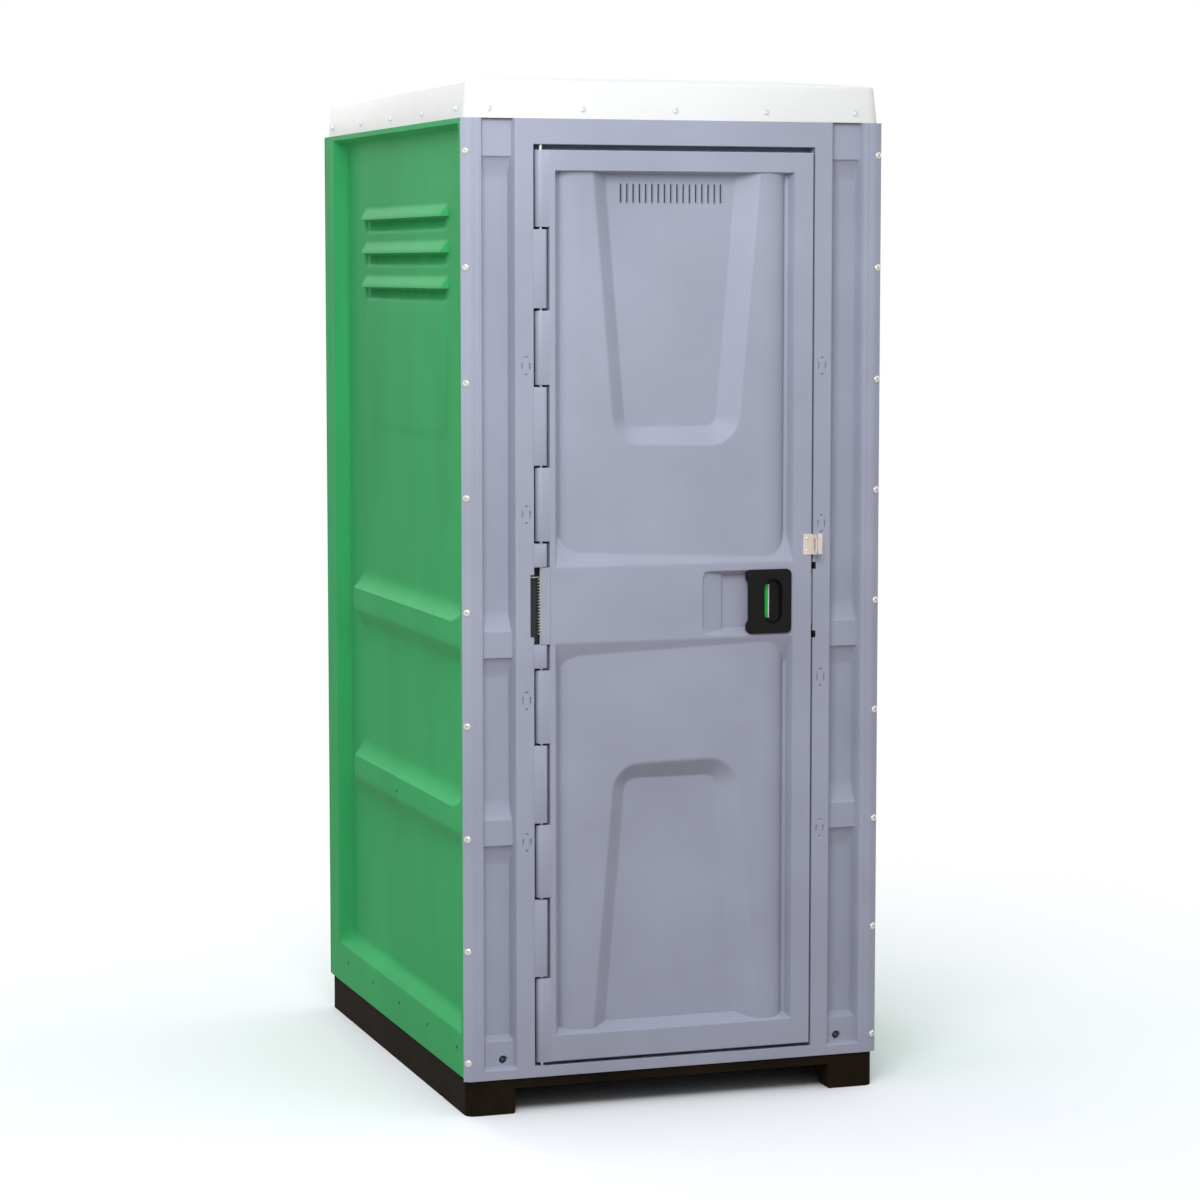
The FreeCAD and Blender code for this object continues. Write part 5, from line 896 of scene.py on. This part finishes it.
# Latch plate: a black moulded nylon plate with soft edges, scooped on its hinge side for the
# hand. An oval hollow in it shows the indicator behind a narrow upright window.
plate_left, plate_right, plate_low, plate_high = 170.0, 278.0, 1066.0, 1212.0
oval_left, oval_right, oval_low, oval_high = 211.0, 255.0, 1088.5, 1189.5
window_left, window_right, window_low, window_high = 211.6, 228.6, 1100.5, 1177.5


def stretched_left(outline, left, high, low):
    """An outline of four equal arcs, with 25 points more down its straight left side."""
    half = len(outline) // 2
    side = np.stack([np.full(25, left), np.linspace(high, low, 27)[1:-1]], -1)
    return np.concatenate([outline[:half], side, outline[half:]])


def plate_outline(inset, radius):
    """The plate's outline: a rectangle with round corners, its left side hollowed by 6 mm."""
    left, low, high = plate_left + inset, plate_low + inset, plate_high - inset
    outline = stretched_left(ring_outline(left, plate_right - inset, low, high, radius, 14),
                             left, high - radius, low + radius)
    side = outline[28:53]
    side[:, 0] += 6 * np.clip((50 - np.abs(side[:, 1] - latch_level)) / 7, 0, 1) ** 0.7
    return outline


def oval_outline(inset):
    """The hollow's oval, with as many points as the plate's outline and in the same order."""
    outline = ring_outline(oval_left + inset, oval_right - inset, oval_low + inset,
                           oval_high - inset, 21.9 - inset, 14)
    return stretched_left(outline, oval_left + inset, oval_high - 22, oval_low + 22)


window = ring_outline(window_left, window_right, window_low, window_high, 1.5, 14)
window = stretched_left(window, window_left, window_high - 2.5, window_low + 2.5)
ring_piece("latch_plate", [
    (plate_outline(0.4, 11.6), 9.0), (plate_outline(0.0, 12.0), 8.0),
    (plate_outline(0.0, 12.0), -3.5), (plate_outline(0.5, 11.5), -5.2),
    (plate_outline(1.8, 10.5), -6.6), (plate_outline(3.6, 9.0), -7.0),
    (oval_outline(-1.4), -7.0), (oval_outline(-0.4), -6.7), (oval_outline(0.2), -5.8),
    (oval_outline(4.6), 6.0), (oval_outline(6.0), 7.0), (window, 7.2), (window, 9.0)], True,
    latch_black, "latch_plastic", "door", "latch_handle")


# Sliding latch behind the plate: a black carriage with a guide, an inside knob and a plated bolt.
# It carries a green and a red field side by side, one of which shows through the window, and the
# carriage's pale edge runs beside the green one.
# Indicator plastics, moulded in a polished tool: smooth, clean and saturated.
vacant_green = moulded_polyethylene("green_indicator_plastic", "1fc24a", "17b33f", 0.3, 1.0,
                                    0.02)
engaged_red = moulded_polyethylene("red_indicator_plastic", "c8201c", "b81b18", 0.3, 1.0, 0.02)
pale_edge = moulded_polyethylene("white_indicator_plastic", "f0f0ee", "e6e6e2", 0.35, 1.0, 0.02)
finish(latch_black, "latch_carriage", "latch_guide", "latch_knob", "latch_escutcheon")
finish(zinc, "latch_bolt")
finish(vacant_green, "indicator_green")
finish(engaged_red, "indicator_red")
edge = ring_outline(226.3, 228.4, 1101.0, 1177.0, 0.4, 4)
ring_piece("indicator_edge", [(edge, 9.7), (edge, 9.2)], False, pale_edge, "vacant_field",
           "latch")


# Strike plate: a bright steel plate with a slot, screwed to the latch side of the doorway. A thin
# black plate set in the slot is painted shade for the dark pocket behind it that takes the bolt.
plate = ring_outline(9.0, 33.0, 1080.0, 1198.0, 4.0, 6)
plate_soft = ring_outline(9.4, 32.6, 1080.4, 1197.6, 3.6, 6)
strike_slot = ring_outline(11.5, 30.5, 1119.5, 1158.5, 3.0, 6)
ring_piece("strike_face", [(plate, 334.5), (plate, 331.5), (plate_soft, 331.1),
                           (strike_slot, 331.1), (strike_slot, 334.5)], True, zinc,
           "stainless_steel", "cabin", "strike_plate", sideways=True)
# The black plate in the slot is painted shade for the pocket, not a part of the strike.
pocket_shade = ring_outline(11.8, 30.2, 1119.8, 1158.2, 3.0, 6)
ring_piece("strike_pocket_painted_shade", [(pocket_shade, 332.0), (pocket_shade, 334.2)], False, latch_black, "latch_plastic",
           "cabin", sideways=True)


# Padlock hasp: two bent nickel-plated angles, one on the door and one on the frame, each held by
# two blind rivets. Satin nickel has a faint pink warmth and fine polishing marks.
nickel = worked_metal("satin_nickel_steel", "e0d5cc", 0.36, 1.0, 0.6)
finish(nickel, "hasp_door_bracket", "hasp_frame_bracket")
finish(aluminium, "hasp_door_rivets", "hasp_frame_rivets")


# Tank and seat: a dark moulded holding tank across the back, with a black seat and a lid that
# turns on a plated pin between two brackets.
# Black seat plastic, injection moulded: the smoothest and glossiest plastic in the cabin.
seat_black = moulded_polyethylene("black_seat_plastic", "1c1c1e", "17171a", 0.28, 1.5, 0.05)
finish(tank_black_and_painted_shade, "waste_tank", "lid_brackets")
finish(seat_black, "toilet_seat", "seat_lid")
finish(zinc, "lid_pin")


# Vent stack: a grey extruded pipe from the tank up through the roof, with a cap over its end.
# Extruded grey plastic is smooth and even, with little grain.
pipe_grey = moulded_polyethylene("grey_pipe_plastic", "7d7f84", "75777c", 0.4, 2.0, 0.1)
finish(pipe_grey, "vent_pipe", "vent_cap")


# Paper holder and coat hook: dark moulded parts screwed to the walls, and the holder's grey
# spindle, which turns with the roll.
finish(tank_black_and_painted_shade, "paper_holder", "coat_hook")
finish(pipe_grey, "paper_spindle")
